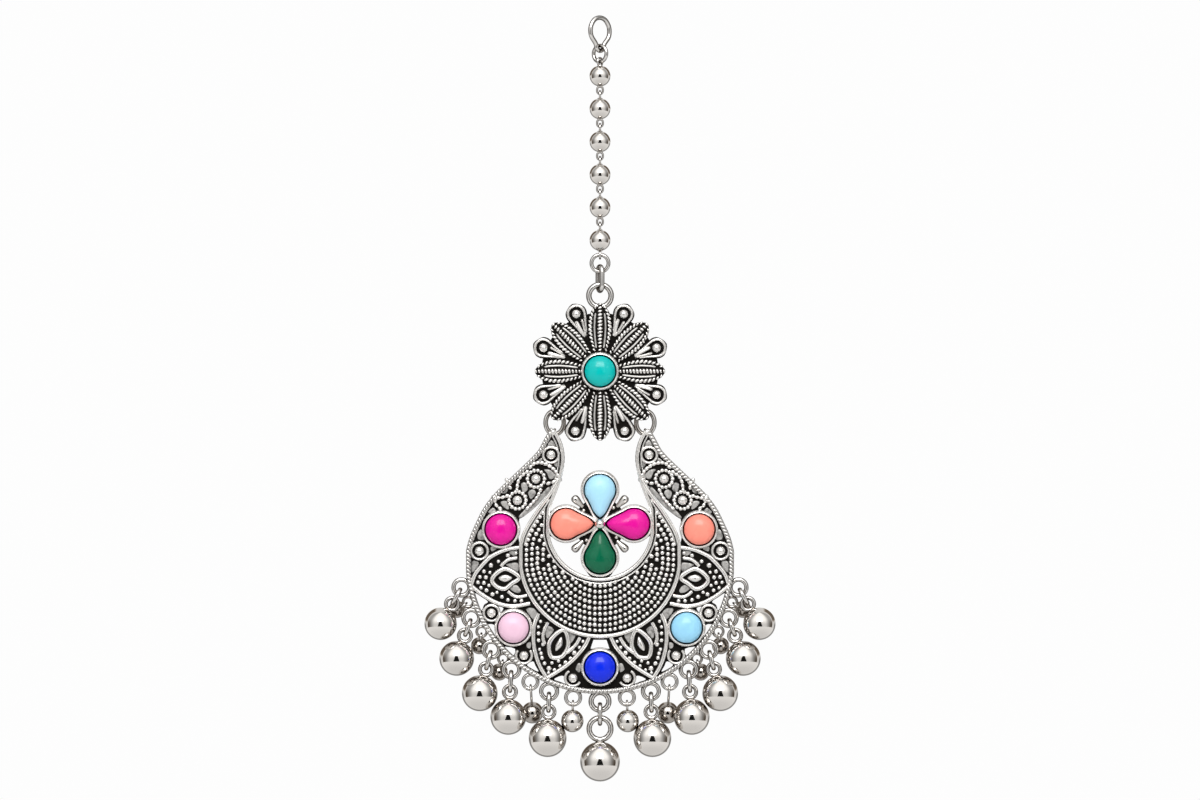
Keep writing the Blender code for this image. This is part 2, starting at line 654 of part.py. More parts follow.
def crescent_outlines():
    """The plate's outline, and the paths of its outer, inner and middle rims."""
    part = CRESCENT_PART
    inner_centre = (0, INNER_CIRCLE["up"] * part)
    mid_centre = (0, MID_CIRCLE["up"] * part)
    outer_half = in_parts(HORN_OUTER, part) + arc(RIM_RADIUS, -84, 0, 10)
    inner_half = in_parts(HORN_INNER, part) + arc(INNER_CIRCLE["radius"] * part, -84, 0, 7, inner_centre)
    mid_half = in_parts(MID_RIM, part) + arc(MID_CIRCLE["radius"] * part, -83, 0, 7, mid_centre)
    paths = []
    for half in (outer_half, inner_half, mid_half):
        paths.append(half + mirrored(list(reversed(half[:-1]))))
    outer, inner, mid = [moved(path, 0, CRESCENT_UP) for path in paths]
    return outer, inner, mid


def on_crescent(points, side=1):
    """Table points of the left half placed on the crescent, or on its right half."""
    real = in_parts(points, CRESCENT_PART)
    return moved(real if side == 1 else mirrored(real), 0, CRESCENT_UP)


def boss(outline, centre):
    """A small ball in a raised ring, both on one foot inside the plate."""
    groove = 1.3 * PLATE_FRONT
    steps = [(1.0, 0.2 * PLATE_BACK), (0.92, BOSS_TOP), (0.64, groove), (0.40, 0.92 * BOSS_TOP)]
    return stepped(outline, centre, steps, 1.25 * BOSS_TOP)


def round_settings():
    """Name and centre of each round setting of the crescent, the axis one once."""
    places = []
    for name, centre in ROUND_STONES.items():
        if centre[0] == 0:
            places.append((name, on_crescent([centre])[0]))
            continue
        places.append((f"{name}_left", on_crescent([centre])[0]))
        places.append((f"{name}_right", on_crescent([centre], -1)[0]))
    return places


def pear_outline(turn, grow, count=10):
    """A pear setting's outline, in its place in the inner flower."""
    shape = pear(PEAR_WIDTH / 2, PEAR_LENGTH, PEAR_START, grow, count)
    return moved(turned(shape, turn), 0, CRESCENT_UP + FLOWER_CENTRE_UP)


def inner_flower():
    """Four pear settings, the ball between them and a bud on each diagonal."""
    centre = CRESCENT_UP + FLOWER_CENTRE_UP
    pieces = []
    for turn in PEAR_STONES.values():
        outline = pear_outline(turn, BEZEL_WALL)
        pieces.append(cup(outline, BEZEL_WALL, 0.3 * PLATE_BACK, BEZEL_TOP, PLATE_FRONT))
    pieces.append(ball(FLOWER_BALL / 2, facing(0, BEZEL_TOP, centre), 8, 5))
    pieces.append(cone((0, 0, centre), (0, BEZEL_TOP, centre), FLOWER_POST / 2, FLOWER_POST / 2, 8))
    reach = PEAR_START + PEAR_LENGTH - PEAR_WIDTH / 2 + BEZEL_WALL
    for turn in (45, 135, 225, 315):
        x, z = turned([(0, 1)], turn)[0]
        start = (x * 0.2 * reach, BUD_FRONT, centre + z * 0.2 * reach)
        end = (x * reach * 1.06, BUD_FRONT, centre + z * reach * 1.06)
        pieces.append(cone(start, end, 0.35 * FLOWER_BUD, 0.55 * FLOWER_BUD))
    return pieces


def drop_sizes(row):
    """Wire and ring sizes of a large drop: the centre one's are heavier."""
    if row["name"] == "centre":
        return CENTRE_RING_OUTER, CENTRE_RING_WIRE, CENTRE_BALL_RING_OUTER, CENTRE_BALL_RING_WIRE
    return FRAME_RING_OUTER, FRAME_RING_WIRE, BALL_RING_OUTER, BALL_RING_WIRE


def rim_ring_centre(angle, side, outer, ring_wire):
    """Centre of a ring that is soldered to the rim's outer edge at an angle."""
    radius = RIM_RADIUS + RIM_WIDTH / 2 + outer / 2 - ring_wire * 0.75
    turn = math.radians(angle)
    return Vector((side * radius * math.sin(turn), CRESCENT_UP - radius * math.cos(turn)))


def frame_rings():
    """The rings on the rim that carry the drops."""
    rings = []
    for row in [*LARGE_DROPS, CENTRE_DROP]:
        outer, ring_wire, _, _ = drop_sizes(row)
        for side in (1, -1) if row["angle"] else (1,):
            centre = rim_ring_centre(row["angle"], side, outer, ring_wire)
            path = circle((outer - ring_wire) / 2, 10)
            rings.append(wire(path, ring_wire / 2, facing(centre.x, 0, centre.y)))
    for row in SMALL_DROPS:
        for side in (1, -1):
            centre = rim_ring_centre(row["angle"], side, SMALL_RING_OUTER, SMALL_RING_WIRE)
            path = circle((SMALL_RING_OUTER - SMALL_RING_WIRE) / 2, 10)
            rings.append(wire(path, SMALL_RING_WIRE / 2, facing(centre.x, 0, centre.y)))
    return rings


def make_crescent(antique, looks):
    """The pierced crescent with its rims, settings and rings, and its stones."""
    outer, inner, mid = crescent_outlines()
    gaps = [on_crescent(AXIS_GAP)]
    for side in (1, -1):
        gaps += [on_crescent(points, side) for points in LEFT_GAPS]
    pieces = [slab(outer + list(reversed(inner)), gaps, PLATE_BACK, PLATE_FRONT)]
    pieces.append(ridge(outer, RIM_WIDTH, 0.7 * PLATE_BACK, RIM_TOP, top_width=RIM_WIDTH * 0.4))
    pieces.append(ridge(inner, INNER_RIM_WIDTH, 0.5 * PLATE_BACK, RIM_TOP))
    pieces.append(ridge(mid, EDGE_WIDTH, 0.0, RIM_TOP))
    for side in (1, -1):
        for points in PETAL_EDGES:
            pieces.append(ridge(on_crescent(points, side), EDGE_WIDTH, 0.2 * PLATE_FRONT, EDGE_TOP))
        for points in PETAL_ARCS:
            pieces.append(ridge(on_crescent(points, side), EDGE_WIDTH * 0.9, 0.3 * PLATE_FRONT, EDGE_TOP * 0.9))
        for eye in PETAL_EYES:
            centre = on_crescent([eye["centre"]], side)[0]
            pieces.append(boss(on_crescent(eye["corners"], side), centre))
        for centre in RINGED_BOSSES:
            middle = on_crescent([centre], side)[0]
            pieces.append(boss(moved(circle(BOSS_OUTER / 2, 6), *middle), middle))
    for name, (x, z) in round_settings():
        setting = moved(circle(ROUND_STONE / 2 + BEZEL_WALL, 12), x, z)
        pieces.append(cup(setting, BEZEL_WALL, 0.1 * PLATE_BACK, BEZEL_TOP, PLATE_FRONT))
    pieces += inner_flower()
    pieces += frame_rings()
    for side in (1, -1):
        pieces.append(bail(side * JUMP_BOTTOM_ACROSS, CRESCENT_AXIS_UP))
    fuse("crescent_frame", pieces, antique, (0, JUMP_BACK, CRESCENT_AXIS_UP))

    colors = {
        "stone_upper_left": "magenta", "stone_upper_right": "coral", "stone_side_left": "pale_pink",
        "stone_side_right": "sky_blue", "stone_bottom": "royal_blue", "stone_pear_top": "light_blue",
        "stone_pear_left": "coral", "stone_pear_bottom": "green", "stone_pear_right": "magenta",
    }
    back = PLATE_FRONT - STONE_GAP
    girdle = BEZEL_TOP * 0.8
    top = BEZEL_TOP - STONE_DOME
    for name, (x, z) in round_settings():
        outline = moved(circle(ROUND_STONE / 2 - STONE_GAP, 10), x, z)
        stone = cabochon(outline, (x, z), back, girdle, top)
        fuse(name, [stone], looks[colors[name]], (x, 0, z))
    for name, turn in PEAR_STONES.items():
        crown = turned([(0, PEAR_START + PEAR_LENGTH - PEAR_WIDTH / 2)], turn)[0]
        crown = (crown[0], crown[1] + CRESCENT_UP + FLOWER_CENTRE_UP)
        stone = cabochon(pear_outline(turn, -STONE_GAP), crown, back, girdle, top)
        fuse(name, [stone], looks[colors[name]], (crown[0], 0, crown[1]))


def make_large_drop(row, side, silver):
    """A large ball with its ring, and the oval link that hangs it in the rim's ring."""
    outer, ring_wire, ball_outer, ball_wire = drop_sizes(row)
    suffix = {1: "_right", -1: "_left"}[side] if row["angle"] else ""
    hang = rim_ring_centre(row["angle"], side, outer, ring_wire)
    lean = math.radians(row["lean"]) * side
    along = Vector((math.sin(lean), -math.cos(lean)))
    space = WIRE_GAP + row["slack"] * DROP_LINK_WIRE
    ring_centre = hang + along * (outer / 2 + space + ball_outer / 2)
    radius = LARGE_BALL * row["ball"] / 2
    ball_centre = ring_centre + along * (ball_outer / 2 - ball_wire + ball_wire * row["neck"] + radius)

    upper = hang + along * ((outer - ring_wire) / 2 - hold_radius(ring_wire, DROP_LINK_WIRE))
    lower = ring_centre - along * ((ball_outer - ball_wire) / 2 - hold_radius(ball_wire, DROP_LINK_WIRE))
    bend = hold_radius(max(ring_wire, ball_wire), DROP_LINK_WIRE)
    middle = (upper + lower) / 2
    path = stadium((upper - lower).length - 2 * bend, bend, 4)
    tilt = -row["lean"] * side
    place = edge_on(middle.x, 0, middle.y, tilt)
    link = wire(path, DROP_LINK_WIRE / 2, place)
    fuse(f"drop_link_{row['name']}{suffix}", [link], silver, (middle.x, 0, middle.y))

    upright = Matrix.Rotation(math.radians(tilt), 4, "Y")
    ring = circle((ball_outer - ball_wire) / 2, 10, start=math.pi / 2)
    pieces = [
        ball(radius, at(ball_centre.x, 0, ball_centre.y) @ upright, 10, 6),
        wire(ring, ball_wire / 2, at(ring_centre.x, 0, ring_centre.y) @ upright @ facing(0, 0, 0)),
    ]
    fuse(f"drop_ball_{row['name']}{suffix}", pieces, silver, (ball_centre.x, 0, ball_centre.y))


def make_small_drop(row, side, silver):
    """A small ball on a wire eye, hung in a ring of the rim and swung back where it lies behind."""
    outer, ring_wire = SMALL_RING_OUTER, SMALL_RING_WIRE
    hang = rim_ring_centre(row["angle"], side, outer, ring_wire)
    lean = math.radians(row["lean"]) * side
    swing = math.radians(row["back"])
    across = Vector((math.sin(lean), 0, -math.cos(lean)))
    along = across * math.cos(swing) + Vector((0, math.sin(swing), 0))
    held = Vector((hang.x, 0, hang.y)) + across * (outer - ring_wire) / 2
    eye_radius = hold_radius(ring_wire, SMALL_EYE_WIRE)
    radius = SMALL_BALL * row["ball"] / 2
    stem = SMALL_BALL * row["stem"]
    ball_centre = held + along * (eye_radius + stem + radius)
    path = stadium(stem, eye_radius, 4)
    middle = held + along * stem / 2
    tilt = at(*middle) @ Matrix.Rotation(-lean, 4, "Y") @ Matrix.Rotation(swing, 4, "X")
    eye = wire(path, SMALL_EYE_WIRE / 2, tilt @ edge_on(0, 0, 0))
    body = ball(radius, at(*ball_centre) @ tilt.to_3x3().to_4x4(), 10, 5)
    name = f"small_drop_{row['name']}_{'right' if side == 1 else 'left'}"
    fuse(name, [body, eye], silver, ball_centre)


def main():
    """Build every sub-part of the jewel."""
    clear_scene()
    silver = material("silver", **SILVER)
    antique = material("antique_silver", **ANTIQUE)
    looks = {name: material(name, color) for name, color in STONE_COLORS.items()}
    make_chain(silver)
    make_flower(antique, looks)
    make_jump_rings(silver)
    make_crescent(antique, looks)
    for side in (1, -1):
        for row in LARGE_DROPS:
            make_large_drop(row, side, silver)
        for row in SMALL_DROPS:
            make_small_drop(row, side, silver)
    make_large_drop(CENTRE_DROP, 1, silver)


main()
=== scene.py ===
"""Maang tikka, dressed: polished wire and balls, antiqued cast plates, granules and cabochons.

Lengths are in millimetres until a piece is finished. Left is -X, the front faces -Y, up is +Z.
"""

import math
import random
from typing import NamedTuple

import bmesh
import bpy
from mathutils import Matrix, Vector


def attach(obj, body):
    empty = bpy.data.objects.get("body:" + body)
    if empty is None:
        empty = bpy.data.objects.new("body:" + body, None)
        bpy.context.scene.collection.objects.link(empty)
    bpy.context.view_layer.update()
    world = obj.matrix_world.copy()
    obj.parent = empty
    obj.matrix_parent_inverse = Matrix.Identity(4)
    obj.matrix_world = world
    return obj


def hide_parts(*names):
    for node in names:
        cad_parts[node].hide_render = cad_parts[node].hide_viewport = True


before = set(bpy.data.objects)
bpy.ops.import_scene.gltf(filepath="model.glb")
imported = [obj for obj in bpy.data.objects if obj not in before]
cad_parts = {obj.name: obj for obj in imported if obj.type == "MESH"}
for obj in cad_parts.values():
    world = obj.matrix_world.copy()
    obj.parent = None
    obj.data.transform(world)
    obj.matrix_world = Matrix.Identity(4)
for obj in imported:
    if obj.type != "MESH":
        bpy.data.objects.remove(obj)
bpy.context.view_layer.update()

bl_info = {
    "name": "Maang tikka",
    "version": (1, 0, 0),
    "blender": (4, 5, 0),
    "location": "3D View > Sidebar > Maang tikka",
    "description": "Dresses the solids of a maang tikka with silver, granules and stones",
    "category": "Add Mesh",
}


class Ring(NamedTuple):
    """A wire ring: its outer diameter and its wire's thickness."""

    outer: float
    wire: float

    @property
    def radius(self):
        """Radius of the wire's centre line."""
        return (self.outer - self.wire) / 2


MM = 0.001
WIRE_GAP = 0.11
STONE_GAP = 0.10
PLATE_GAP = 0.16
SHARP_ANGLE = math.radians(42.0)
FRONT = (0, -1, 0)

# Plates and the work raised on them, as depths: the front is negative
PLATE_BACK = 0.45
PLATE_FRONT = -0.25
RIDGE_FOOT = -0.15
RIM_TOP = -0.90
EDGE_TOP = -0.72
BEZEL_TOP = -1.45
STONE_DOME = 1.05
GIRDLE = 0.8 * BEZEL_TOP

# Patina of a plate's plain back, and the value that marks polished wire, whose painted shade
# along its sides runs from one half to one
PLAIN = 0.25
WIRE = 1.0

# The hook: how low its wire reaches, its outer widths at the shoulders and at the neck, its side
# down to the neck in shares of half its width and of its height, and its turn on the chain
HOOK_REACH = 4.95
HOOK_WIDTHS = (4.30, 2.30)
HOOK_SIDE = [(0.50, 0.05), (0.86, 0.20), (1.0, 0.38), (0.90, 0.58)]
HOOK_TURN = 38.0
LINK_TURN = 20.0
BEADS = 6
# The collar from which an eye leaves its bead: places past the bead's surface, and radii there
COLLAR_OUT = (-0.10, 0.05, 0.10)
COLLAR_RADII = (0.42, 0.36, 0.24)

TOP_RING = Ring(3.00, 0.58)
LOWER_RING = Ring(3.15, 0.60)
FLOWER_LOOP = Ring(4.20, 0.86)
JUMP_RING = Ring(4.20, 0.72)
JUMP_WIDTH = 3.45
BAIL_WIRE = 0.44
# From the lower ring's foot to the top of the flower's loop, and how deep the loop sits in the plate
LINK_DROP = 1.94
LOOP_SUNK = 0.55

# The rim's ring and the ball's ring of a large drop, and the rings of the small ones
SIDE_RINGS = (Ring(3.06, 0.68), Ring(2.44, 0.60))
CENTRE_RINGS = (Ring(3.50, 0.84), Ring(4.10, 0.84))
SMALL_RING = Ring(2.75, 0.58)
HIDDEN_RING = Ring(1.94, 0.44)
HIDDEN_BACK = 0.45
HIDDEN_STEM = 0.35
EYE_WIRE = 0.34
# How far the twisted rim stands out past the rim's radius
RIM_OVERHANG = 0.38

# Radius of the round stones and of a pear stone's end, and how far out a pear stone's tip is
STONE_RADIUS = 2.40
PEAR_START = 0.75

# Small balls on the plates: depth of the middle, radius, points around and along, and the lift below
# which they are dark
RING_BALL = {"depth": -0.50, "radius": 0.70, "around": 26, "along": 14, "foot": -0.1}
GRANULE_RING_BALL = {"depth": -0.52, "radius": 0.72, "around": 26, "along": 14, "foot": -0.1}
PETAL_BALL = {"depth": -0.58, "radius": 0.66, "around": 24, "along": 14, "foot": -0.25}
MIDDLE_BALL = {"depth": BEZEL_TOP - 0.25, "radius": 0.78, "around": 32, "along": 18}
BUD_BALL = {"depth": -0.72, "radius": 0.30, "around": 16, "along": 10}

# Cast silver: roughness, wear beyond the common one, brightness of its ridges and share of metal
CAST_FINISHES = {
    "cast_silver": (0.16, 0.0, 0.89, 0.86),
    "rope_silver": (0.18, 0.0, 0.72, 0.94),
    "setting_silver": (0.10, 0.15, 0.93, 0.76),
}

# The stage, in metres
FLOOR_RADIUS = 0.42
FLOOR_FORWARD = -0.12
KEY_SIZE = (0.25, 0.20)
KEY_ENERGY = 0.35
KEY_PLACE = (-0.16, -0.42, 0.24)
KEY_AIM = (0.0, 0.0, -0.07)
VIEW_UP = -0.057
SENSOR = 36.0

# The crescent's ornament is laid out in 132nds of the rim radius, the flower's in 68ths of its own
RIM_RADIUS = 19.8
FLOWER_RADIUS = 10.2
CRESCENT_PART = RIM_RADIUS / 132
FLOWER_PART = FLOWER_RADIUS / 68

INNER_CIRCLE = {"up": 32.5, "radius": 52.6}
MID_CIRCLE = {"up": 3.0, "radius": 79.8}
INNER_FLOWER_UP = 35.5

# Half outlines of the crescent from the horn's tip, as (across, up) on the left
HORN_OUTER = [(-48, 128.5), (-53.5, 119), (-59.5, 108), (-68, 98.5), (-80, 87), (-92, 75.5),
              (-104, 63.5), (-114, 50.5), (-121.5, 36), (-128, 21), (-131.3, 9)]
HORN_INNER = [(-45, 127), (-40, 117), (-37.5, 107), (-37.2, 98), (-39, 87), (-41, 79),
              (-44, 70), (-48, 60), (-51.5, 50)]
MID_RIM = [(-41.5, 79), (-47, 70), (-54, 60), (-61, 50.5), (-67, 41.5), (-72.5, 32.5),
           (-76.5, 24), (-79, 15)]

# Smooth raised lines on the left: petal edges, the arcs inside them and the leaf veins
PETAL_EDGES = [
    [(-81, 12), (-91, 10.5), (-100, 7.5), (-110, 2), (-118, -6), (-125, -15), (-129, -26)],
    [(-129, -26), (-120, -33.5), (-110, -40), (-100, -44.5), (-90, -46.5), (-80, -46), (-70, -44)],
    [(-61.5, -54), (-65, -63), (-66.5, -74), (-66, -86), (-63, -99), (-59, -109), (-53, -118.5)],
    [(-53, -118.5), (-40, -110.5), (-30, -103), (-22, -95), (-15, -86), (-11, -78)],
]
PETAL_ARCS = [
    [(-83, 1.5), (-91, 0), (-96, -3.5), (-99, -7)],
    [(-92, -32), (-86, -36.5), (-80, -37.5), (-73, -36)],
    [(-52, -63), (-55.5, -70), (-57, -78), (-55.5, -85)],
    [(-20, -78), (-24, -85), (-30, -91), (-36, -94.5)],
]
PETAL_EYES = [
    {"rim": [(-108, -20.5), (-103, -13.5), (-95, -9.5), (-87, -12.5), (-80.5, -18.5), (-88, -24),
             (-95.5, -29.5), (-103.5, -27)],
     "heart": [(-103, -19), (-95, -14.5), (-86, -18.5), (-95, -23.5)]},
    {"rim": [(-37.5, -70.5), (-46, -76.5), (-51, -85.5), (-48.5, -97.5), (-38, -97), (-32, -87),
             (-33, -75)],
     "heart": [(-38, -75.5), (-45, -86), (-44.5, -93), (-37, -86)]},
]

# Rows of single granules inside the petals, as (across, up, size)
PETAL_GRANULES = [
    (-92, 4, 3.9), (-101.5, -2.0, 3.6), (-109, -6, 4.6), (-116, -12, 3.9), (-120, -17.5, 3.8),
    (-114, -18, 3.8), (-122, -23, 3.6), (-116, -23.5, 3.6), (-119, -28.5, 3.6), (-113.5, -31, 3.8),
    (-107.5, -35, 4.0), (-98, -37.5, 4.2), (-92, -40.5, 3.8), (-85, -41.5, 3.8), (-78.5, -41.5, 3.8),
    (-110, -13, 3.2), (-111, -26, 3.2), (-84, 6.2, 3.6), (-103, -33, 3.2),
    (-59.5, -62, 3.4), (-61.5, -67.5, 3.2), (-61.5, -74, 3.8), (-61.5, -81, 3.6), (-57, -85, 3.8),
    (-60.5, -90, 3.4), (-59, -94, 3.8), (-58, -98.5, 3.8), (-55.5, -104, 4.0), (-51, -109, 4.6),
    (-51.5, -113.5, 3.4), (-45.5, -110.5, 3.4), (-40, -106.5, 3.6), (-34.5, -103, 3.8),
    (-29.5, -99, 3.8), (-25.5, -93.5, 4.8), (-20.5, -88, 3.6), (-17, -82, 3.4), (-48, -103.5, 3.4),
    (-41.5, -101.5, 3.2),
]
# Stretches of beaded line: leaf arcs on the horn
BEADED_ARCS = [
    [(-40, 80), (-45, 89), (-54.5, 95.5), (-64, 96.5), (-69.5, 92.5)],
    [(-42, 80), (-46, 77.5), (-51.5, 76)],
    [(-73, 87.5), (-79, 83), (-82, 77), (-83, 69)],
    [(-59.5, 69), (-62.5, 62.5), (-67, 57), (-72.5, 51)],
    [(-106, 62.5), (-100, 61.5), (-93, 63.5)],
    [(-105.5, 58.5), (-103.5, 54), (-100, 51)],
    [(-93, 79), (-90, 72)],
]
KNOBS = [(-90.2, 76.6, 5.6), (-105, 60.2, 5.6), (-42.2, 79.3, 5.6), (-47, 127, 7.0)]

# Bosses on the left: a ball in a plain ring, in a ring of granules or in an open ring
RING_BOSSES = [(-49, 104.5, 9.0), (-120.5, 8.5, 9.5), (-108.5, -53.5, 9.0)]
GRANULE_BOSSES = [(-64, 80.5), (-82.5, 59)]
OPEN_BOSSES = [(-76, -96, 140, 400), (-27, -118.5, 120, 330)]

# Polished patches of floor on the left, light grey between the black recesses
FLOOR_PATCHES = [
    [(-48.5, 119.5), (-53, 112), (-44, 112)], [(-43, 99.5), (-40, 97), (-40.5, 90.5), (-46, 94.5)],
    [(-58, 101.5), (-63, 98), (-58, 97)], [(-56, 90), (-49, 89), (-43.5, 83), (-50, 80), (-53, 86)],
    [(-79, 75.5), (-74, 76.5), (-72, 70), (-77, 67)], [(-72, 67), (-67, 70), (-64, 66), (-69, 60)],
    [(-99.5, 66.5), (-95, 71), (-91, 72), (-94, 66)], [(-99.5, 57.5), (-93, 58), (-91, 50), (-96, 52)],
    [(-112, 47.5), (-107, 51.5), (-104, 48.5), (-109, 45.5)],
    [(-122, 27), (-118, 30), (-115, 20), (-122, 20)],
    [(-109, 12.5), (-102, 13), (-104, 9.5), (-108.5, 8)],
    [(-128, -2), (-121, -3), (-124, -10), (-128.5, -13)],
    [(-91, 7.5), (-83, 9), (-83, 4), (-88, 4)], [(-94, -5), (-82, -3.5), (-82, -12.5), (-89, -9)],
    [(-90, -29.5), (-84, -25.5), (-79, -31), (-82, -34)],
    [(-74, -50), (-66, -49), (-60, -58), (-65, -62)],
    [(-54, -66), (-46, -70), (-52, -79), (-54.5, -75)], [(-32, -72), (-24, -75), (-29, -84), (-30, -81)],
    [(-73, -84), (-69, -83), (-69.5, -89), (-73, -88)],
    [(-22, -104), (-19, -105), (-20, -113), (-24.5, -110)],
    [(-51, 73), (-58, 66), (-66, 59), (-74, 51), (-82, 42), (-79, 41), (-70, 47.5), (-62, 54.5),
     (-55, 62.5), (-49, 70)],
]

ROUND_STONES = {
    "stone_upper_left": (-99, 30), "stone_upper_right": (99, 30), "stone_side_left": (-86.4, -68),
    "stone_side_right": (86.4, -68), "stone_bottom": (0, -107.5),
}
PEAR_STONES = {"stone_pear_top": 0, "stone_pear_left": 90, "stone_pear_bottom": 180,
               "stone_pear_right": 270}
STONE_FINISH = {
    "stone_upper_left": "magenta", "stone_upper_right": "coral", "stone_side_left": "pale_pink",
    "stone_side_right": "sky_blue", "stone_bottom": "royal_blue", "stone_pear_top": "light_blue",
    "stone_pear_left": "coral", "stone_pear_bottom": "green", "stone_pear_right": "magenta",
    "stone_centre": "turquoise",
}

# Gaps cut through the plate on the left, and the one on the axis
LEFT_GAPS = [
    [(-47, 73), (-60, 54), (-73, 34), (-80.5, 16), (-80.5, 41), (-67, 54), (-53, 69)],
    [(-125.5, -34), (-118, -38), (-112, -42.5), (-116, -45.5), (-118.5, -51), (-123.5, -45)],
    [(-102, -47.5), (-96.5, -49), (-100.5, -54)],
    [(-113, -65.5), (-106, -65.5), (-104, -73), (-104.5, -79), (-110.5, -71)],
    [(-97.5, -87.5), (-85, -89.5), (-87.5, -97.5), (-93, -93)],
    [(-73, -105.5), (-67, -102), (-64.5, -106.5), (-61.5, -112.5), (-69, -109)],
    [(-46, -120), (-39, -116.5), (-35, -118), (-33.5, -124.5), (-40, -122.5)],
]
AXIS_GAP = [(-6.5, -80.5), (6.5, -80.5), (9.5, -89.5), (-9.5, -89.5)]

# Where a jump ring is held: on the flower in shares of its radius, on the crescent of its rim's
PETAL_BAIL = {"across": 0.667, "up": -0.585}
HORN_BAIL = {"across": 0.3434, "up": 0.947}

LARGE_DROPS = [
    {"name": "1", "angle": 78.5, "lean": 29.8, "ball": 0.905, "slack": 0.00, "neck": 0.60},
    {"name": "2", "angle": 65.5, "lean": 19.9, "ball": 0.972, "slack": 0.00, "neck": 0.60},
    {"name": "3", "angle": 50.3, "lean": 14.7, "ball": 1.000, "slack": 0.30, "neck": 0.65},
    {"name": "4", "angle": 38.8, "lean": 3.8, "ball": 1.000, "slack": 0.75, "neck": 0.72},
    {"name": "5", "angle": 21.1, "lean": 1.8, "ball": 1.056, "slack": 0.35, "neck": 0.80},
    {"name": "centre", "angle": 0.0, "lean": 0.0, "ball": 1.111, "slack": 0.30, "neck": 0.85},
]
SMALL_DROPS = [
    {"name": "1", "angle": 29.6, "lean": -3.0, "back": 33.0, "ball": 0.970, "stem": 0.66},
    {"name": "2", "angle": 11.0, "lean": 2.0, "back": 0.0, "ball": 1.000, "stem": 0.05},
]
# The smallest drops hang behind the large ones, from rings at the back of the rim
HIDDEN_DROPS = [
    {"angle": 72.0, "lean": 55.0, "back": 52.0},
    {"angle": 58.5, "lean": 10.0, "back": 46.0},
    {"angle": 44.2, "lean": 17.0, "back": 47.0},
]

# The flower, in parts: how far each ribbed petal reaches, its half-widths at distances out, its
# ribs (kind, place across as a share, run and lift in mm) and the section of a looped petal's pad
PETAL_REACH = (1.0, 0.985, 0.955, 0.99, 1.02, 0.99, 0.955, 0.985)
PETAL_WIDTHS = [(17, 6.0), (24, 8.2), (33, 10.8), (43, 12.2), (53, 11.3), (60, 8.9), (65, 5.3),
                (68, 1.6)]
PETAL_RIBS = [("rope", 0.0, 45.5, 0.06), ("fine", 0.46, 42.5, 0.06), ("fine", -0.46, 42.5, 0.06),
              ("edge", 0.80, 42.5, 0.20), ("edge", -0.80, 42.5, 0.20)]
RIB_POINTS = 22
PAD_SECTION = [(1, PLATE_BACK * 0.9, 0.25), (0, PLATE_BACK * 0.7, 0.3), (0, PLATE_FRONT * 0.5, 0.85),
               (1, PLATE_FRONT * 0.75, 0.70), (2, PLATE_FRONT * 0.8, 1.0)]
SPOKE = [(38, 0.9, -0.30), (44, 1.7, -0.50), (50, 2.5, -0.55), (55, 2.9, -0.45)]
# A bud between two pear stones: its distances out in parts and its radii in mm
BUD = [(24, 0.30), (28, 0.42), (33, 0.60), (36.6, 0.58), (38.6, 0.30)]


def length(label, default, description):
    """A length in millimetres that a user may change."""
    return bpy.props.FloatProperty(
        name=label, default=default, min=0.01, description=f"{description}, mm")


def share(label, default, description):
    """A share between nothing and all."""
    return bpy.props.FloatProperty(
        name=label, default=default, min=0.0, max=1.0, subtype="FACTOR", description=description)


def metres(label, default, description):
    """A length of the stage."""
    return bpy.props.FloatProperty(
        name=label, default=default, min=0.0, unit="LENGTH", description=description)


def colour(label, default, description):
    """A scene-linear colour."""
    return bpy.props.FloatVectorProperty(
        name=label, default=default, size=3, min=0.0, max=1.0, subtype="COLOR",
        description=description)


class TikkaChainSizes(bpy.types.PropertyGroup):
    """Sizes of the hook, the beads and the links."""

    hook_wire: length("Hook wire", 0.70, "Thickness of the hair hook's wire")
    bead: length("Bead", 3.15, "Diameter of a chain bead")
    bead_space: length("Bead space", 1.78, "Free length between two beads")
    eye_wire: length("Eye wire", 0.33, "Thickness of a bead's eye")
    link_wire: length("Link wire", 0.75, "Thickness of the oval link's wire")


class TikkaPlateSizes(bpy.types.PropertyGroup):
    """Sizes of the raised work on the flower and the crescent."""

    rim_rope: length("Rim rope", 0.78, "Width of the twisted rim")
    rope_pitch: length("Rope pitch", 0.56, "Distance between two turns of the twisted rim")
    edge: length("Edge", 0.56, "Width of a petal's smooth raised edge")
    granule: length("Granule", 0.66, "Diameter of a granule")
    granule_pitch: length("Granule pitch", 0.78, "Distance between two granules in a row")
    bezel: length("Bezel", 0.42, "Thickness of a stone's setting")


class TikkaDropSizes(bpy.types.PropertyGroup):
    """Sizes of the balls and their rings."""

    large_ball: length("Large ball", 5.40, "Diameter of the side drops' balls")
    small_ball: length("Small ball", 3.40, "Diameter of the small drops' balls")
    hidden_ball: length("Hidden ball", 2.60, "Diameter of the smallest balls behind")
    link_wire: length("Link wire", 0.70, "Thickness of a drop's link")


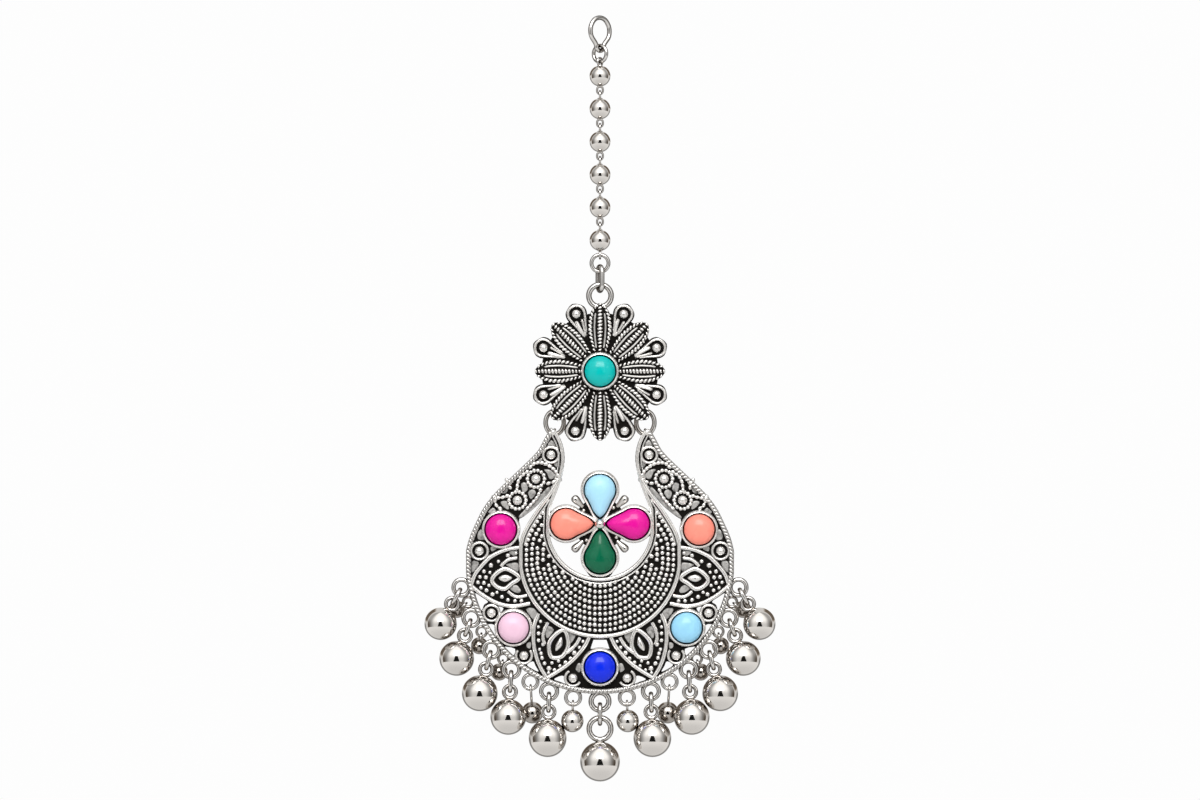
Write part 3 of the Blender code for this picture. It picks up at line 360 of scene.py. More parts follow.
class TikkaFinish(bpy.types.PropertyGroup):
    """Colours of the silver and of the stones."""

    silver: colour("Silver", (0.84, 0.815, 0.785), "Polished silver plate")
    rubbed: colour("Rubbed silver", (0.985, 0.97, 0.95), "Ridges of the cast plates")
    patina: colour("Patina", (0.006, 0.005, 0.004), "Oxide in the recesses")
    # Painted shade: the colour that darkens polished wire along its sides, away from the front
    wire_shade: colour("Wire shade", (0.045, 0.038, 0.032), "Sides of the polished wires")
    shade: colour("Shade", (0.27, 0.236, 0.205), "Polished silver close to a neighbour")
    wear: share("Wear", 0.50, "Depth down to which the patina is rubbed away")
    turquoise: colour("Turquoise", (0.0, 0.42, 0.40), "Centre stone of the flower")
    magenta: colour("Magenta", (0.62, 0.003, 0.26), "Upper left and right pear stone")
    coral: colour("Coral", (0.82, 0.245, 0.185), "Upper right and left pear stone")
    pale_pink: colour("Pale pink", (0.70, 0.47, 0.60), "Lower left stone")
    sky_blue: colour("Sky blue", (0.26, 0.55, 0.76), "Lower right stone")
    light_blue: colour("Light blue", (0.34, 0.62, 0.79), "Top pear stone")
    royal_blue: colour("Royal blue", (0.0, 0.018, 0.62), "Bottom stone")
    green: colour("Green", (0.0, 0.105, 0.048), "Bottom pear stone")


class TikkaStage(bpy.types.PropertyGroup):
    """The floor, the light and the camera."""

    distance: metres("Camera distance", 0.62, "From the camera to the jewel")
    view_width: metres("View width", 0.18, "Width that the camera sees")
    floor_drop: metres("Floor", 0.150, "Depth of the floor below the hook")
    tent: bpy.props.FloatProperty(name="Tent", default=1.25, min=0.0, description="Light of the tent")


GROUPS = {"tikka_chain": TikkaChainSizes, "tikka_plate": TikkaPlateSizes,
          "tikka_drop": TikkaDropSizes, "tikka_finish": TikkaFinish, "tikka_stage": TikkaStage}


def clamp(value):
    """A value held between 0 and 1."""
    return min(max(value, 0.0), 1.0)


def each(value, count):
    """A list of values as it is, or one value repeated."""
    return list(value) if hasattr(value, "__len__") else [value] * count


# Points in the plane of a plate: across and up
def circle(radius, count, centre=(0.0, 0.0), first=0.0, last=360.0):
    """Points of a circle or of an arc of it, counter-clockwise from across."""
    steps = count if last - first == 360.0 else count - 1
    turns = [math.radians(first + (last - first) * i / steps) for i in range(count)]
    return [(centre[0] + radius * math.cos(a), centre[1] + radius * math.sin(a)) for a in turns]


def bottom_arc(radius, first, count, up):
    """Points of an arc about the axis from an angle left of straight down to its foot."""
    turns = [math.radians(first * (1 - i / count)) for i in range(count + 1)]
    return [(radius * math.sin(a), up - radius * math.cos(a)) for a in turns]


def smooth(points, closed=False, cuts=4):
    """A smooth line through points of any dimension."""
    count = len(points)
    points = [Vector(p) for p in points]
    line = []
    for i in range(count if closed else count - 1):
        p1, p2 = points[i], points[(i + 1) % count]
        p0 = points[i - 1] if closed or i else p1 * 2 - p2
        p3 = points[(i + 2) % count] if closed or i < count - 2 else p2 * 2 - p1
        for t in (k / cuts for k in range(cuts)):
            line.append(0.5 * (p1 * 2 + (p2 - p0) * t + (p0 * 2 - p1 * 5 + p2 * 4 - p3) * t * t
                               + (p1 * 3 - p0 - p2 * 3 + p3) * t ** 3))
    if not closed:
        line.append(points[-1])
    return [tuple(p) for p in line]


def stadium(straight, radius, half_turn=12):
    """A closed loop of two half circles, their centres a length apart upward."""
    centre = max(straight, 0.0001) / 2
    turns = [math.pi * i / half_turn for i in range(half_turn + 1)]
    top = [(radius * math.cos(a), centre + radius * math.sin(a)) for a in turns]
    return top + [(-x, -y) for x, y in top]


def pear(end_radius, reach, start, grow, count=40, cuts=8):
    """A pear upward: a sharp tip at the start, a round end, its outline grown by a distance."""
    centre = start + reach - end_radius
    half = math.asin(end_radius / (centre - start))
    radius = end_radius + grow
    turns = [(math.pi / 2 + half) * (2 * i / count - 1) for i in range(count + 1)]
    tip = start - grow / math.sin(half)
    ends = [(-radius * math.sin(a), centre + radius * math.cos(a)) for a in turns]
    rise = []
    for t in (k / cuts for k in range(1, cuts)):
        swell = 0.26 * 6.75 * t * (1 - t) ** 2
        rise.append((ends[0][0] * t + swell * math.cos(half),
                     tip + (ends[0][1] - tip) * t - swell * math.sin(half)))
    return [(0.0, tip)] + rise + ends + mirrored(reversed(rise))


def turned(points, degrees, up=0.0):
    """Points turned about the origin, counter-clockwise, and then moved up."""
    c, s = math.cos(math.radians(degrees)), math.sin(math.radians(degrees))
    return [(x * c - y * s, x * s + y * c + up) for x, y in points]


def sized(points, part):
    """Table points turned into millimetres."""
    return [(p[0] * part, p[1] * part) for p in points]


def mirrored(points):
    """Points on the other side of the jewel."""
    return [(-p[0], *p[1:]) for p in points]


def at_depth(points, depth):
    """Flat points put at a depth."""
    return [(x, depth, z) for x, z in points]


def shrunk(outline, middle, steps):
    """Loops of an outline drawn towards its middle, one for every share and depth."""
    cx, cz = middle
    return [[(cx + (x - cx) * s, y, cz + (z - cz) * s) for x, z in outline] for s, y in steps]


def middle_of(points):
    """The mean of flat points."""
    return sum(x for x, _ in points) / len(points), sum(z for _, z in points) / len(points)


def placed(place, points):
    """Points of a plane, placed in space."""
    return [place @ Vector((x, y, 0)) for x, y in points]


def direction(path, i, closed=False):
    """The way a line of vectors runs at one of its points."""
    count = len(path)
    back = path[i - 1] if closed or i else path[0]
    ahead = path[(i + 1) % count] if closed or i < count - 1 else path[-1]
    return (ahead - back).normalized()


def hold_radius(held_wire, holding_wire):
    """Centre-line radius of a loop that holds a wire with the wire gap all round."""
    return held_wire / 2 + WIRE_GAP + holding_wire / 2


def wire_side_shade(outward):
    """Painted shade of polished wire where its surface looks outward: bright in front, dark at its
    sides.
    """
    return 0.5 + 0.5 * clamp((1 - abs(outward.y) - 0.15) / 0.36)


def quads(rows, size, closed=False):
    """Faces between equal loops of points, joined in turn."""
    faces = []
    for r in range(rows if closed else rows - 1):
        low, high = r * size, (r + 1) % rows * size
        faces += [(low + i, low + (i + 1) % size, high + (i + 1) % size, high + i)
                  for i in range(size)]
    return faces


class Shape:
    """Closed surfaces collected into one mesh, with the patina of each point from 0 to 1."""

    def __init__(self):
        self.points = []
        self.faces = []
        self.patina = []

    def add(self, points, faces, patina):
        """Add one closed surface."""
        first = len(self.points)
        self.points += [tuple(p) for p in points]
        self.faces += [[first + i for i in face] for face in faces]
        self.patina += each(patina, len(points))

    def stack(self, loops, patina, closed=False):
        """Equal loops joined in turn, the first and the last filled or joined to each other."""
        size, rows = len(loops[0]), len(loops)
        faces = quads(rows, size, closed)
        if not closed:
            faces += [tuple(range(size)), tuple(range((rows - 1) * size, rows * size))]
        values = each(patina, rows)
        if len(values) == rows:
            values = [value for value in values for _ in range(size)]
        self.add([p for loop in loops for p in loop], faces, values)

    def dome(self, loops, top, patina):
        """Equal loops joined in turn, the first filled, the last drawn to a bright point."""
        size, rows = len(loops[0]), len(loops)
        last = (rows - 1) * size
        faces = [tuple(range(size)), *quads(rows, size)]
        faces += [(last + i, last + (i + 1) % size, rows * size) for i in range(size)]
        values = [value for value in each(patina, rows) for _ in range(size)]
        self.add([p for loop in loops for p in loop] + [top], faces, values + [0.0])

    def tube(self, path, radius, sides=14, closed=False, patina=0.0, height=None, front=None):
        """Round wire along a path, or a low ridge with its own height that faces a direction."""
        path = [Vector(p) for p in path]
        radii = each(radius, len(path))
        loops, values = [], []
        normal = None
        for i, point in enumerate(path):
            along = direction(path, i, closed)
            if front:
                normal = Vector(front)
            elif normal is None:
                normal = along.orthogonal().normalized()
            normal = (normal - along * normal.dot(along)).normalized()
            side = along.cross(normal)
            rise = radii[i] if height is None else height * radii[i] / max(radii)
            loop = []
            for turn in (math.tau * k / sides for k in range(sides)):
                across, lift = math.cos(turn), math.sin(turn)
                loop.append(point + side * radii[i] * across + normal * rise * lift)
                if height is not None:
                    values.append(max(patina, clamp((0.55 - lift) / 0.75)))
                else:
                    # Polished wire carries painted shade, darker where its surface turns away from the
                    # front
                    wire = patina == WIRE
                    values.append(wire_side_shade(side * across + normal * lift) if wire else patina)
            loops.append(loop)
        self.stack(loops, values, closed)

    def rib(self, path, width, rise, patina=0.0):
        """A smooth low rib that faces the front, tapered at its ends."""
        swell = [math.sin(math.pi * (i + 0.5) / len(path)) for i in range(len(path))]
        self.tube(path, [width / 2 * min(1.0, 0.45 + 2.2 * s) for s in swell], 8, False, patina,
                  rise, FRONT)

    def ball(self, centre, radius, axis=(0, 0, 1), around=48, along=28, foot=None):
        """A ball with its poles on an axis. Its back grows dark where it has a foot."""
        centre = Vector(centre)
        turn = Vector((0, 0, 1)).rotation_difference(Vector(axis))
        points = []
        for polar in (math.pi * r / along for r in range(1, along)):
            for a in (math.tau * i / around for i in range(around)):
                flat = Vector((math.sin(polar) * math.cos(a), math.sin(polar) * math.sin(a),
                               math.cos(polar)))
                points.append(centre + turn @ flat * radius)
        top, bottom = len(points), len(points) + 1
        points += [centre + turn @ Vector((0, 0, way * radius)) for way in (1, -1)]
        values = 0.0
        if foot is not None:
            values = [clamp((foot - (centre.y - point.y) / radius) / 0.5) for point in points]
        last = (along - 2) * around
        faces = quads(along - 1, around)
        faces += [(i, (i + 1) % around, top) for i in range(around)]
        faces += [(last + i, last + (i + 1) % around, bottom) for i in range(around)]
        self.add(points, faces, values)

    def boss(self, centre, depth, radius, around, along, foot=None):
        """A ball on the front of a plate, at a flat point and a depth."""
        self.ball((centre[0], depth, centre[1]), radius, FRONT, around, along, foot)

    def ring(self, radius, wire, place, around=56, sides=16):
        """Round wire bent into a ring in its own XY plane, then placed."""
        self.tube(placed(place, circle(radius, around)), wire / 2, sides, True, WIRE)

    def ridge(self, path, width, depth, top, closed=False, crown=0.16):
        """A raised line with upright walls and a low round crown, along flat points."""
        widths = each(width, len(path))
        shares = (1.0, 0.93, 0.75, 0.5, 0.25, 0.0, -0.25, -0.5, -0.75, -0.93, -1.0)
        foot = 0.3 if depth > 0 else 1.0
        section = [(v, top + crown * v * v, max(abs(v) - 0.9, 0.0) * 8) for v in shares]
        section = [(1.0, depth, foot), *section, (-1.0, depth, foot)]
        path = [Vector(p) for p in path]
        loops = []
        for i, (x, z) in enumerate(path):
            along = direction(path, i, closed)
            half = widths[i] / 2
            loops.append([(x - along.y * half * v, y, z + along.x * half * v)
                          for v, y, _ in section])
        self.stack(loops, [value for _, _, value in section] * len(path), closed)

    def slab(self, outline, holes, back, front):
        """A flat plate with holes, dark on its front."""
        curve = bpy.data.curves.new("outline", "CURVE")
        curve.dimensions = "2D"
        curve.fill_mode = "BOTH"
        curve.extrude = (back - front) / 2
        for points in [outline, *holes]:
            spline = curve.splines.new("POLY")
            spline.points.add(len(points) - 1)
            for point, (x, y) in zip(spline.points, points):
                point.co = (x, y, 0.0, 1.0)
            spline.use_cyclic_u = True
        flat = bpy.data.objects.new("outline", curve)
        bpy.context.scene.collection.objects.link(flat)
        bm = bmesh.new()
        bm.from_mesh(bpy.data.meshes.new_from_object(flat))
        bpy.data.objects.remove(flat, do_unlink=True)
        bmesh.ops.remove_doubles(bm, verts=bm.verts, dist=0.0001)
        bm.verts.ensure_lookup_table()
        middle = (back + front) / 2
        points = [(v.co.x, middle - v.co.z, v.co.y) for v in bm.verts]
        faces = [[v.index for v in face.verts] for face in bm.faces]
        bm.free()
        self.add(points, faces, [1.0 if p[1] < middle else PLAIN for p in points])


# Turns that stand a flat ring up, to face the front or to face sideways
UPRIGHT = Matrix.Rotation(math.pi / 2, 4, "X")
QUARTER = Matrix.Rotation(math.pi / 2, 4, "Z")
SIDEWAYS = QUARTER @ UPRIGHT


def hanging(x, y, z, lean=0.0):
    """A placement at a point, leaning in degrees in the jewel's front plane."""
    return Matrix.Translation((x, y, z)) @ Matrix.Rotation(math.radians(lean), 4, "Y")


def facing(x, y, z, lean=0.0):
    """A placement whose XY plane is the jewel's front plane, leaning in degrees."""
    return hanging(x, y, z, lean) @ UPRIGHT


def edge_on(x, y, z, lean=0.0):
    """A placement whose XY plane holds the depth axis and a hanging line that leans in degrees."""
    return hanging(x, y, z, lean) @ QUARTER @ UPRIGHT


def swivelled(up, degrees):
    """A placement on the chain's axis, turned about it."""
    return Matrix.Translation((0, 0, up)) @ Matrix.Rotation(math.radians(degrees), 4, "Z")


def finish(name, shape, look, body, slot, *nodes):
    """Turn a shape, or a mesh in metres, into a piece that rides on a body and stands for nodes."""
    mesh = shape
    if isinstance(shape, Shape):
        mesh = bpy.data.meshes.new(name)
        mesh.from_pydata([Vector(p) * MM for p in shape.points], [], shape.faces)
        mesh.attributes.new("patina", "FLOAT", "POINT").data.foreach_set("value", shape.patina)
        bm = bmesh.new()
        bm.from_mesh(mesh)
        bmesh.ops.recalc_face_normals(bm, faces=bm.faces)
        bm.to_mesh(mesh)
        bm.free()
        mesh.shade_smooth()
        mesh.set_sharp_from_angle(angle=SHARP_ANGLE)
    mesh.name = name
    mesh.materials.clear()
    mesh.materials.append(looks()[look])
    obj = bpy.data.objects.new(name, mesh)
    bpy.context.scene.collection.objects.link(obj)
    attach(obj, body)
    if nodes:
        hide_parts(*nodes)


def finish_silver(name, shape, body, *nodes):
    """Turn a shape into a piece of polished silver."""
    finish(name, shape, "polished_silver", body, "silver", *nodes)


class Tree:
    """A node tree, built by calls that take values or sockets and give back output sockets."""

    def __init__(self, tree, inputs=(), outputs=()):
        self.tree = tree
        for way, sockets in (("INPUT", inputs), ("OUTPUT", outputs)):
            for label, kind, *default in sockets:
                socket = tree.interface.new_socket(
                    label, in_out=way, socket_type=f"NodeSocket{kind}")
                if default:
                    socket.default_value = default[0]
        if outputs:
            self.start = tree.nodes.new("NodeGroupInput").outputs
            self.end = tree.nodes.new("NodeGroupOutput")

    def plug(self, made, values):
        """Link a node's inputs from sockets or set them to values."""
        for key, value in values.items():
            if isinstance(value, bpy.types.NodeSocket):
                self.tree.links.new(value, made.inputs[key])
            else:
                made.inputs[key].default_value = value

    def node(self, kind, values=None, **settings):
        """The outputs of a new node with its settings and inputs."""
        made = self.tree.nodes.new(kind)
        for key, value in settings.items():
            setattr(made, key, value)
        self.plug(made, values or {})
        return made.outputs

    def math(self, kind, *values):
        """A sum, product or other function of values."""
        return self.node("ShaderNodeMath", dict(enumerate(values)), operation=kind)[0]

    def ramp(self, value, low, high, start=0.0, end=1.0, kind="LINEAR"):
        """A value that goes from a start to an end between two limits."""
        return self.node("ShaderNodeMapRange", {0: value, 1: low, 2: high, 3: start, 4: end},
                         interpolation_type=kind)[0]

    def vector(self, x=0.0, y=0.0, z=0.0):
        """Three values as a vector."""
        return self.node("ShaderNodeCombineXYZ", {"X": x, "Y": y, "Z": z})[0]

    def mix(self, factor, first, second):
        """A mix of two colours."""
        return self.node("ShaderNodeMix", {"Factor": factor, "A": first, "B": second},
                         data_type="RGBA")["Result"]

    def cloud(self, scale, detail):
        """Cloudy noise that keeps its place on the object."""
        place = self.node("ShaderNodeTexCoord")["Object"]
        return self.node("ShaderNodeTexNoise", {"Vector": place, "Scale": scale, "Detail": detail})[0]

    def group(self, tree, **values):
        """The outputs of a node group with its values."""
        return self.node("ShaderNodeGroup", values, node_tree=tree)


# Geometry Nodes
def geometry_tree(name, inputs):
    """An empty geometry tree with named inputs."""
    geometry = ("Geometry", "Geometry")
    tree = bpy.data.node_groups.new(name, "GeometryNodeTree")
    return Tree(tree, [geometry, *inputs, ("Look", "Material")], [geometry])


def grain_mesh(tree, segments, rings, dark_to):
    """A small ball of unit diameter that carries its patina, dark towards its foot."""
    ball = tree.node("GeometryNodeMeshUVSphere",
                     {"Segments": segments, "Rings": rings, "Radius": 0.5})
    place = tree.node("GeometryNodeInputPosition")[0]
    height = tree.node("ShaderNodeSeparateXYZ", {0: place})["Z"]
    return tree.node("GeometryNodeStoreNamedAttribute", {
        "Geometry": ball["Mesh"], "Name": "patina",
        "Value": tree.ramp(height, 0.0, dark_to, 1.0, 0.0)}, data_type="FLOAT", domain="POINT")[0]


def facing_front(tree):
    """The turn that makes a grain's height face the front."""
    return tree.node("FunctionNodeAlignRotationToVector", {"Vector": FRONT}, axis="Z")[0]


def size_of(tree):
    """The size that each point carries."""
    return tree.node("GeometryNodeInputNamedAttribute", {"Name": "size"},
                     data_type="FLOAT")["Attribute"]


def place_grains(tree, points, grain, rotation, scale):
    """Put a grain on every point, realize and smooth them and give them their material."""
    grains = tree.node("GeometryNodeInstanceOnPoints", {
        "Points": points, "Instance": grain, "Rotation": rotation, "Scale": scale})[0]
    real = tree.node("GeometryNodeRealizeInstances", {0: grains})[0]
    shaded = tree.node("GeometryNodeSetShadeSmooth", {"Geometry": real})[0]
    dressed = tree.node("GeometryNodeSetMaterial",
                        {"Geometry": shaded, "Material": tree.start["Look"]})[0]
    tree.plug(tree.end, {0: dressed})
    return tree.tree


def grain_row_tree():
    """Grains laid along paths, each turned by a slant: twisted rims, beaded lines and ribs."""
    tree = geometry_tree("grain_row", [
        ("Pitch", "Float", 0.5 * MM), ("Length", "Float", 0.5 * MM), ("Width", "Float", 0.5 * MM),
        ("Height", "Float", 0.5 * MM), ("Slant", "Float", 0.0)])
    line = tree.node("GeometryNodeMeshToCurve", {"Mesh": tree.start["Geometry"]})[0]
    points = tree.node("GeometryNodeResampleCurve",
                       {"Curve": line, "Length": tree.start["Pitch"]}, mode="LENGTH")[0]
    along = tree.node("FunctionNodeAlignRotationToVector", {
        "Rotation": facing_front(tree), "Vector": tree.node("GeometryNodeInputTangent")[0]},
        axis="X", pivot_axis="Z")[0]
    slant = tree.node("FunctionNodeEulerToRotation", {0: tree.vector(z=tree.start["Slant"])})[0]
    rotation = tree.node("FunctionNodeRotateRotation", {"Rotation": along, "Rotate By": slant},
                         rotation_space="LOCAL")[0]
    full = tree.vector(*[tree.start[label] for label in ("Length", "Width", "Height")])
    scale = tree.node("ShaderNodeVectorMath", {0: full, "Scale": size_of(tree)}, operation="SCALE")[0]
    return place_grains(tree, points, grain_mesh(tree, 10, 6, 0.32), rotation, scale)


def granule_tree():
    """Round granules on single points, each a little larger or smaller."""
    tree = geometry_tree("granules", [
        ("Diameter", "Float", 0.5 * MM), ("Height", "Float", 1.0), ("Uneven", "Float", 0.08),
        ("Seed", "Int", 7)])
    chance = tree.node("FunctionNodeRandomValue", {
        2: tree.math("SUBTRACT", 1.0, tree.start["Uneven"]),
        3: tree.math("ADD", 1.0, tree.start["Uneven"]), "Seed": tree.start["Seed"]},
        data_type="FLOAT")[1]
    across = tree.math("MULTIPLY", tree.math("MULTIPLY", chance, size_of(tree)),
                       tree.start["Diameter"])
    scale = tree.vector(across, across, tree.math("MULTIPLY", across, tree.start["Height"]))
    return place_grains(tree, tree.start["Geometry"], grain_mesh(tree, 12, 7, 0.20),
                        facing_front(tree), scale)


def group_named(name, make):
    """A node group, built once."""
    return bpy.data.node_groups.get(name) or make()


def grown(tree, lines, sizes, values):
    """The mesh that a tree makes of paths, or of single points where a path has one, in mm."""
    points, edges = [], []
    for path in lines:
        first = len(points)
        points += [Vector(p) * MM for p in path]
        edges += [(first + i, first + i + 1) for i in range(len(path) - 1)]
    mesh = bpy.data.meshes.new(tree.name)
    mesh.from_pydata(points, edges, [])
    mesh.attributes.new("size", "FLOAT", "POINT").data.foreach_set("value", sizes)
    holder = bpy.data.objects.new(tree.name, mesh)
    bpy.context.scene.collection.objects.link(holder)
    modifier = holder.modifiers.new("grow", "NODES")
    modifier.node_group = tree
    for item in tree.interface.items_tree:
        if item.in_out == "INPUT" and item.name in values:
            modifier[item.identifier] = values[item.name]
    graph = bpy.context.evaluated_depsgraph_get()
    made = bpy.data.meshes.new_from_object(holder.evaluated_get(graph), depsgraph=graph)
    holder.modifiers.clear()
    bpy.data.objects.remove(holder, do_unlink=True)
    return made


def grain_rows(paths, look, pitch, grain, slant, sizes=None):
    """Rows of grains at a pitch, each grain by its length, width and height, slanted in degrees."""
    values = {"Pitch": pitch * MM, "Slant": math.radians(slant), "Look": looks()[look]}
    values.update({key: size * MM for key, size in zip(("Length", "Width", "Height"), grain)})
    sizes = sizes * len(paths) if sizes else [1.0] * sum(len(path) for path in paths)
    return grown(group_named("grain_row", grain_row_tree), paths, sizes, values)


# Materials
def shader_tree(name, inputs, outputs):
    """An empty shader group with named numbers in and out."""
    tree = bpy.data.node_groups.new(name, "ShaderNodeTree")
    return Tree(tree, [(label, "Float", value) for label, value in inputs.items()],
                [(label, "Float") for label in outputs])


def handling_marks():
    """Group: faint smudges and hairlines of handled metal, as a roughness and a height."""
    tree = shader_tree("handling_marks", {"Roughness": 0.1, "Smudge": 0.05, "Scale": 400.0},
                       ("Roughness", "Height"))
    cloud = tree.cloud(tree.start["Scale"], 3.0)
    thin = tree.node("ShaderNodeMapping", {
        "Vector": tree.node("ShaderNodeTexCoord")["Object"], "Scale": (9000.0, 1400.0, 1400.0),
        "Rotation": (0.3, 0.5, 0.7)})[0]
    line = tree.node("ShaderNodeTexNoise", {"Vector": thin, "Scale": 1.0, "Detail": 2.0})[0]
    rough = tree.math("MULTIPLY_ADD", cloud, tree.start["Smudge"], tree.start["Roughness"])
    tree.plug(tree.end, {"Roughness": rough, "Height": line})
    return tree.tree


def oxide_mask():
    """Group: where the oxide stays in cast silver, from each point's own depth and a cloudy wear."""
    tree = shader_tree("oxide_mask", {"Wear": 0.5, "Softness": 0.25, "Cloud": 0.25, "Scale": 900.0},
                       ("Mask", "Tone"))
    cloud = tree.cloud(tree.start["Scale"], 4.0)
    depth = tree.node("ShaderNodeAttribute", attribute_name="patina")["Fac"]
    uneven = tree.math("MULTIPLY_ADD", tree.math("SUBTRACT", cloud, 0.5), tree.start["Cloud"], depth)
    low, high = [tree.math(kind, tree.start["Wear"], tree.start["Softness"])
                 for kind in ("SUBTRACT", "ADD")]
    tree.plug(tree.end, {"Mask": tree.ramp(uneven, low, high, kind="SMOOTHSTEP"),
                         "Tone": tree.ramp(cloud, 0.3, 0.7, 0.88, 1.0)})
    return tree.tree


def tone(base, factor=1.0):
    """A colour made darker or lighter, with its alpha."""
    return (*[min(c * factor, 1.0) for c in base], 1.0)


def new_material(name):
    """A new material: its tree and its principled shader."""
    made = bpy.data.materials.new(name)
    made.use_nodes = True
    return Tree(made.node_tree), made.node_tree.nodes["Principled BSDF"]


def marked(tree, marks, strength, distance):
    """The normal of a surface with handling marks."""
    return tree.node("ShaderNodeBump", {
        "Height": marks["Height"], "Strength": strength, "Distance": distance})[0]


def polished_silver(colours):
    """Polished silver plate with faint handling marks."""
    tree, shader = new_material("polished_silver")
    marks = tree.group(group_named("handling_marks", handling_marks),
                       Roughness=0.045, Smudge=0.05, Scale=500.0)
    silver = tree.mix(tree.cloud(260.0, 2.0), tone(colours.silver, 0.96), tone(colours.silver))
    # Wire carries painted shade along its sides, and is brighter than the balls in front
    patina = tree.node("ShaderNodeAttribute", attribute_name="patina")["Fac"]
    wire = tree.mix(tree.ramp(patina, 0.2, 0.45), silver, tone(colours.rubbed, 0.84))
    side_shaded = tree.mix(tree.ramp(patina, 0.5, 1.0, 0.0, 0.93), wire, tone(colours.wire_shade))
    # Pieces that crowd each other reflect little light: brown shade where a neighbour is near
    near = tree.node("ShaderNodeAmbientOcclusion", {"Distance": 5.0 * MM}, samples=8)["AO"]
    shaded = tree.mix(tree.ramp(near, 0.52, 0.90, 0.72, 0.0), side_shaded, tone(colours.shade))
    tree.plug(shader, {"Base Color": shaded, "Metallic": 1.0, "Roughness": marks["Roughness"],
                       "Normal": marked(tree, marks, 0.012, 0.0002)})


def antique_silver(colours, name, roughness, more_wear, shine, metallic):
    """Cast silver, black in its recesses and rubbed bright on its ridges."""
    tree, shader = new_material(name)
    oxide = tree.group(group_named("oxide_mask", oxide_mask),
                       Wear=colours.wear + more_wear, Softness=0.16, Cloud=0.35, Scale=1500.0)
    marks = tree.group(group_named("handling_marks", handling_marks),
                       Roughness=roughness, Smudge=0.12, Scale=900.0)
    bright = tree.mix(oxide["Tone"], tone(colours.rubbed, shine * 0.5), tone(colours.rubbed, shine))
    tree.plug(shader, {
        "Base Color": tree.mix(oxide["Mask"], bright, tone(colours.patina)),
        "Metallic": tree.ramp(oxide["Mask"], 0.0, 1.0, metallic, 0.35),
        "Roughness": tree.math("MULTIPLY_ADD", oxide["Mask"], 0.45, marks["Roughness"]),
        "Specular IOR Level": 0.12, "Normal": marked(tree, marks, 0.06, 0.0003)})


def stone_look(name, base):
    """Opaque glossy cabochon, a little cloudy inside."""
    tree, shader = new_material(name)
    cloud = tree.cloud(420.0, 3.0)
    tree.plug(shader, {
        "Base Color": tree.mix(cloud, tone(base, 0.90), tone(base, 1.08)),
        "Roughness": tree.ramp(cloud, 0.0, 1.0, 0.22, 0.32), "Specular IOR Level": 0.15,
        "Coat Weight": 0.35, "Coat Roughness": 0.02})


def looks():
    """Every material, built once."""
    values = bpy.context.scene.tikka_finish
    if not bpy.data.materials.get("polished_silver"):
        polished_silver(values)
        for name, cast in CAST_FINISHES.items():
            antique_silver(values, name, *cast)
        for name in sorted(set(STONE_FINISH.values())):
            stone_look(f"{name}_cabochon", getattr(values, name))
    return bpy.data.materials


class Layout:
    """Heights of the jewel's pieces, each from the piece above."""

    def __init__(self, chain):
        self.hook_bottom = chain.hook_wire / 2 - HOOK_REACH
        self.top_ring = (self.hook_bottom + hold_radius(chain.hook_wire, TOP_RING.wire)
                         - TOP_RING.radius)
        self.first_eye = hold_radius(TOP_RING.wire, chain.eye_wire)
        self.last_eye = hold_radius(LOWER_RING.wire, chain.eye_wire)
        self.inner_eye = (chain.bead_space + chain.eye_wire + WIRE_GAP) / 4
        first = self.top_ring - TOP_RING.radius - self.first_eye - chain.bead / 2
        self.beads = [first - i * (chain.bead + chain.bead_space) for i in range(BEADS)]
        self.lower_ring = self.beads[-1] - chain.bead / 2 - self.last_eye - LOWER_RING.radius
        self.flower_axis = self.lower_ring - LOWER_RING.radius - LINK_DROP
        self.flower = self.flower_axis - 2 * FLOWER_LOOP.radius + LOOP_SUNK - FLOWER_RADIUS
        self.jump_back = PLATE_BACK + PLATE_GAP + JUMP_RING.wire / 2
        self.jump_top = Vector((PETAL_BAIL["across"] * FLOWER_RADIUS,
                                self.flower + PETAL_BAIL["up"] * FLOWER_RADIUS))
        across = HORN_BAIL["across"] * RIM_RADIUS
        fall = math.sqrt((2 * JUMP_RING.radius) ** 2 - (self.jump_top.x - across) ** 2)
        self.jump_bottom = Vector((across, self.jump_top.y - fall))
        self.crescent = self.jump_bottom.y - HORN_BAIL["up"] * RIM_RADIUS
        self.inner_flower = self.crescent + INNER_FLOWER_UP * CRESCENT_PART


def layout():
    """The jewel's heights from the present sizes."""
    return Layout(bpy.context.scene.tikka_chain)


def add_bails(shape, at, heights):
    """Wire bails behind a plate, on both sides, round the jump rings."""
    for side in (1, -1):
        shape.ring(hold_radius(JUMP_RING.wire, BAIL_WIRE), BAIL_WIRE,
                   edge_on(side * at.x, heights.jump_back, at.y), 32, 10)


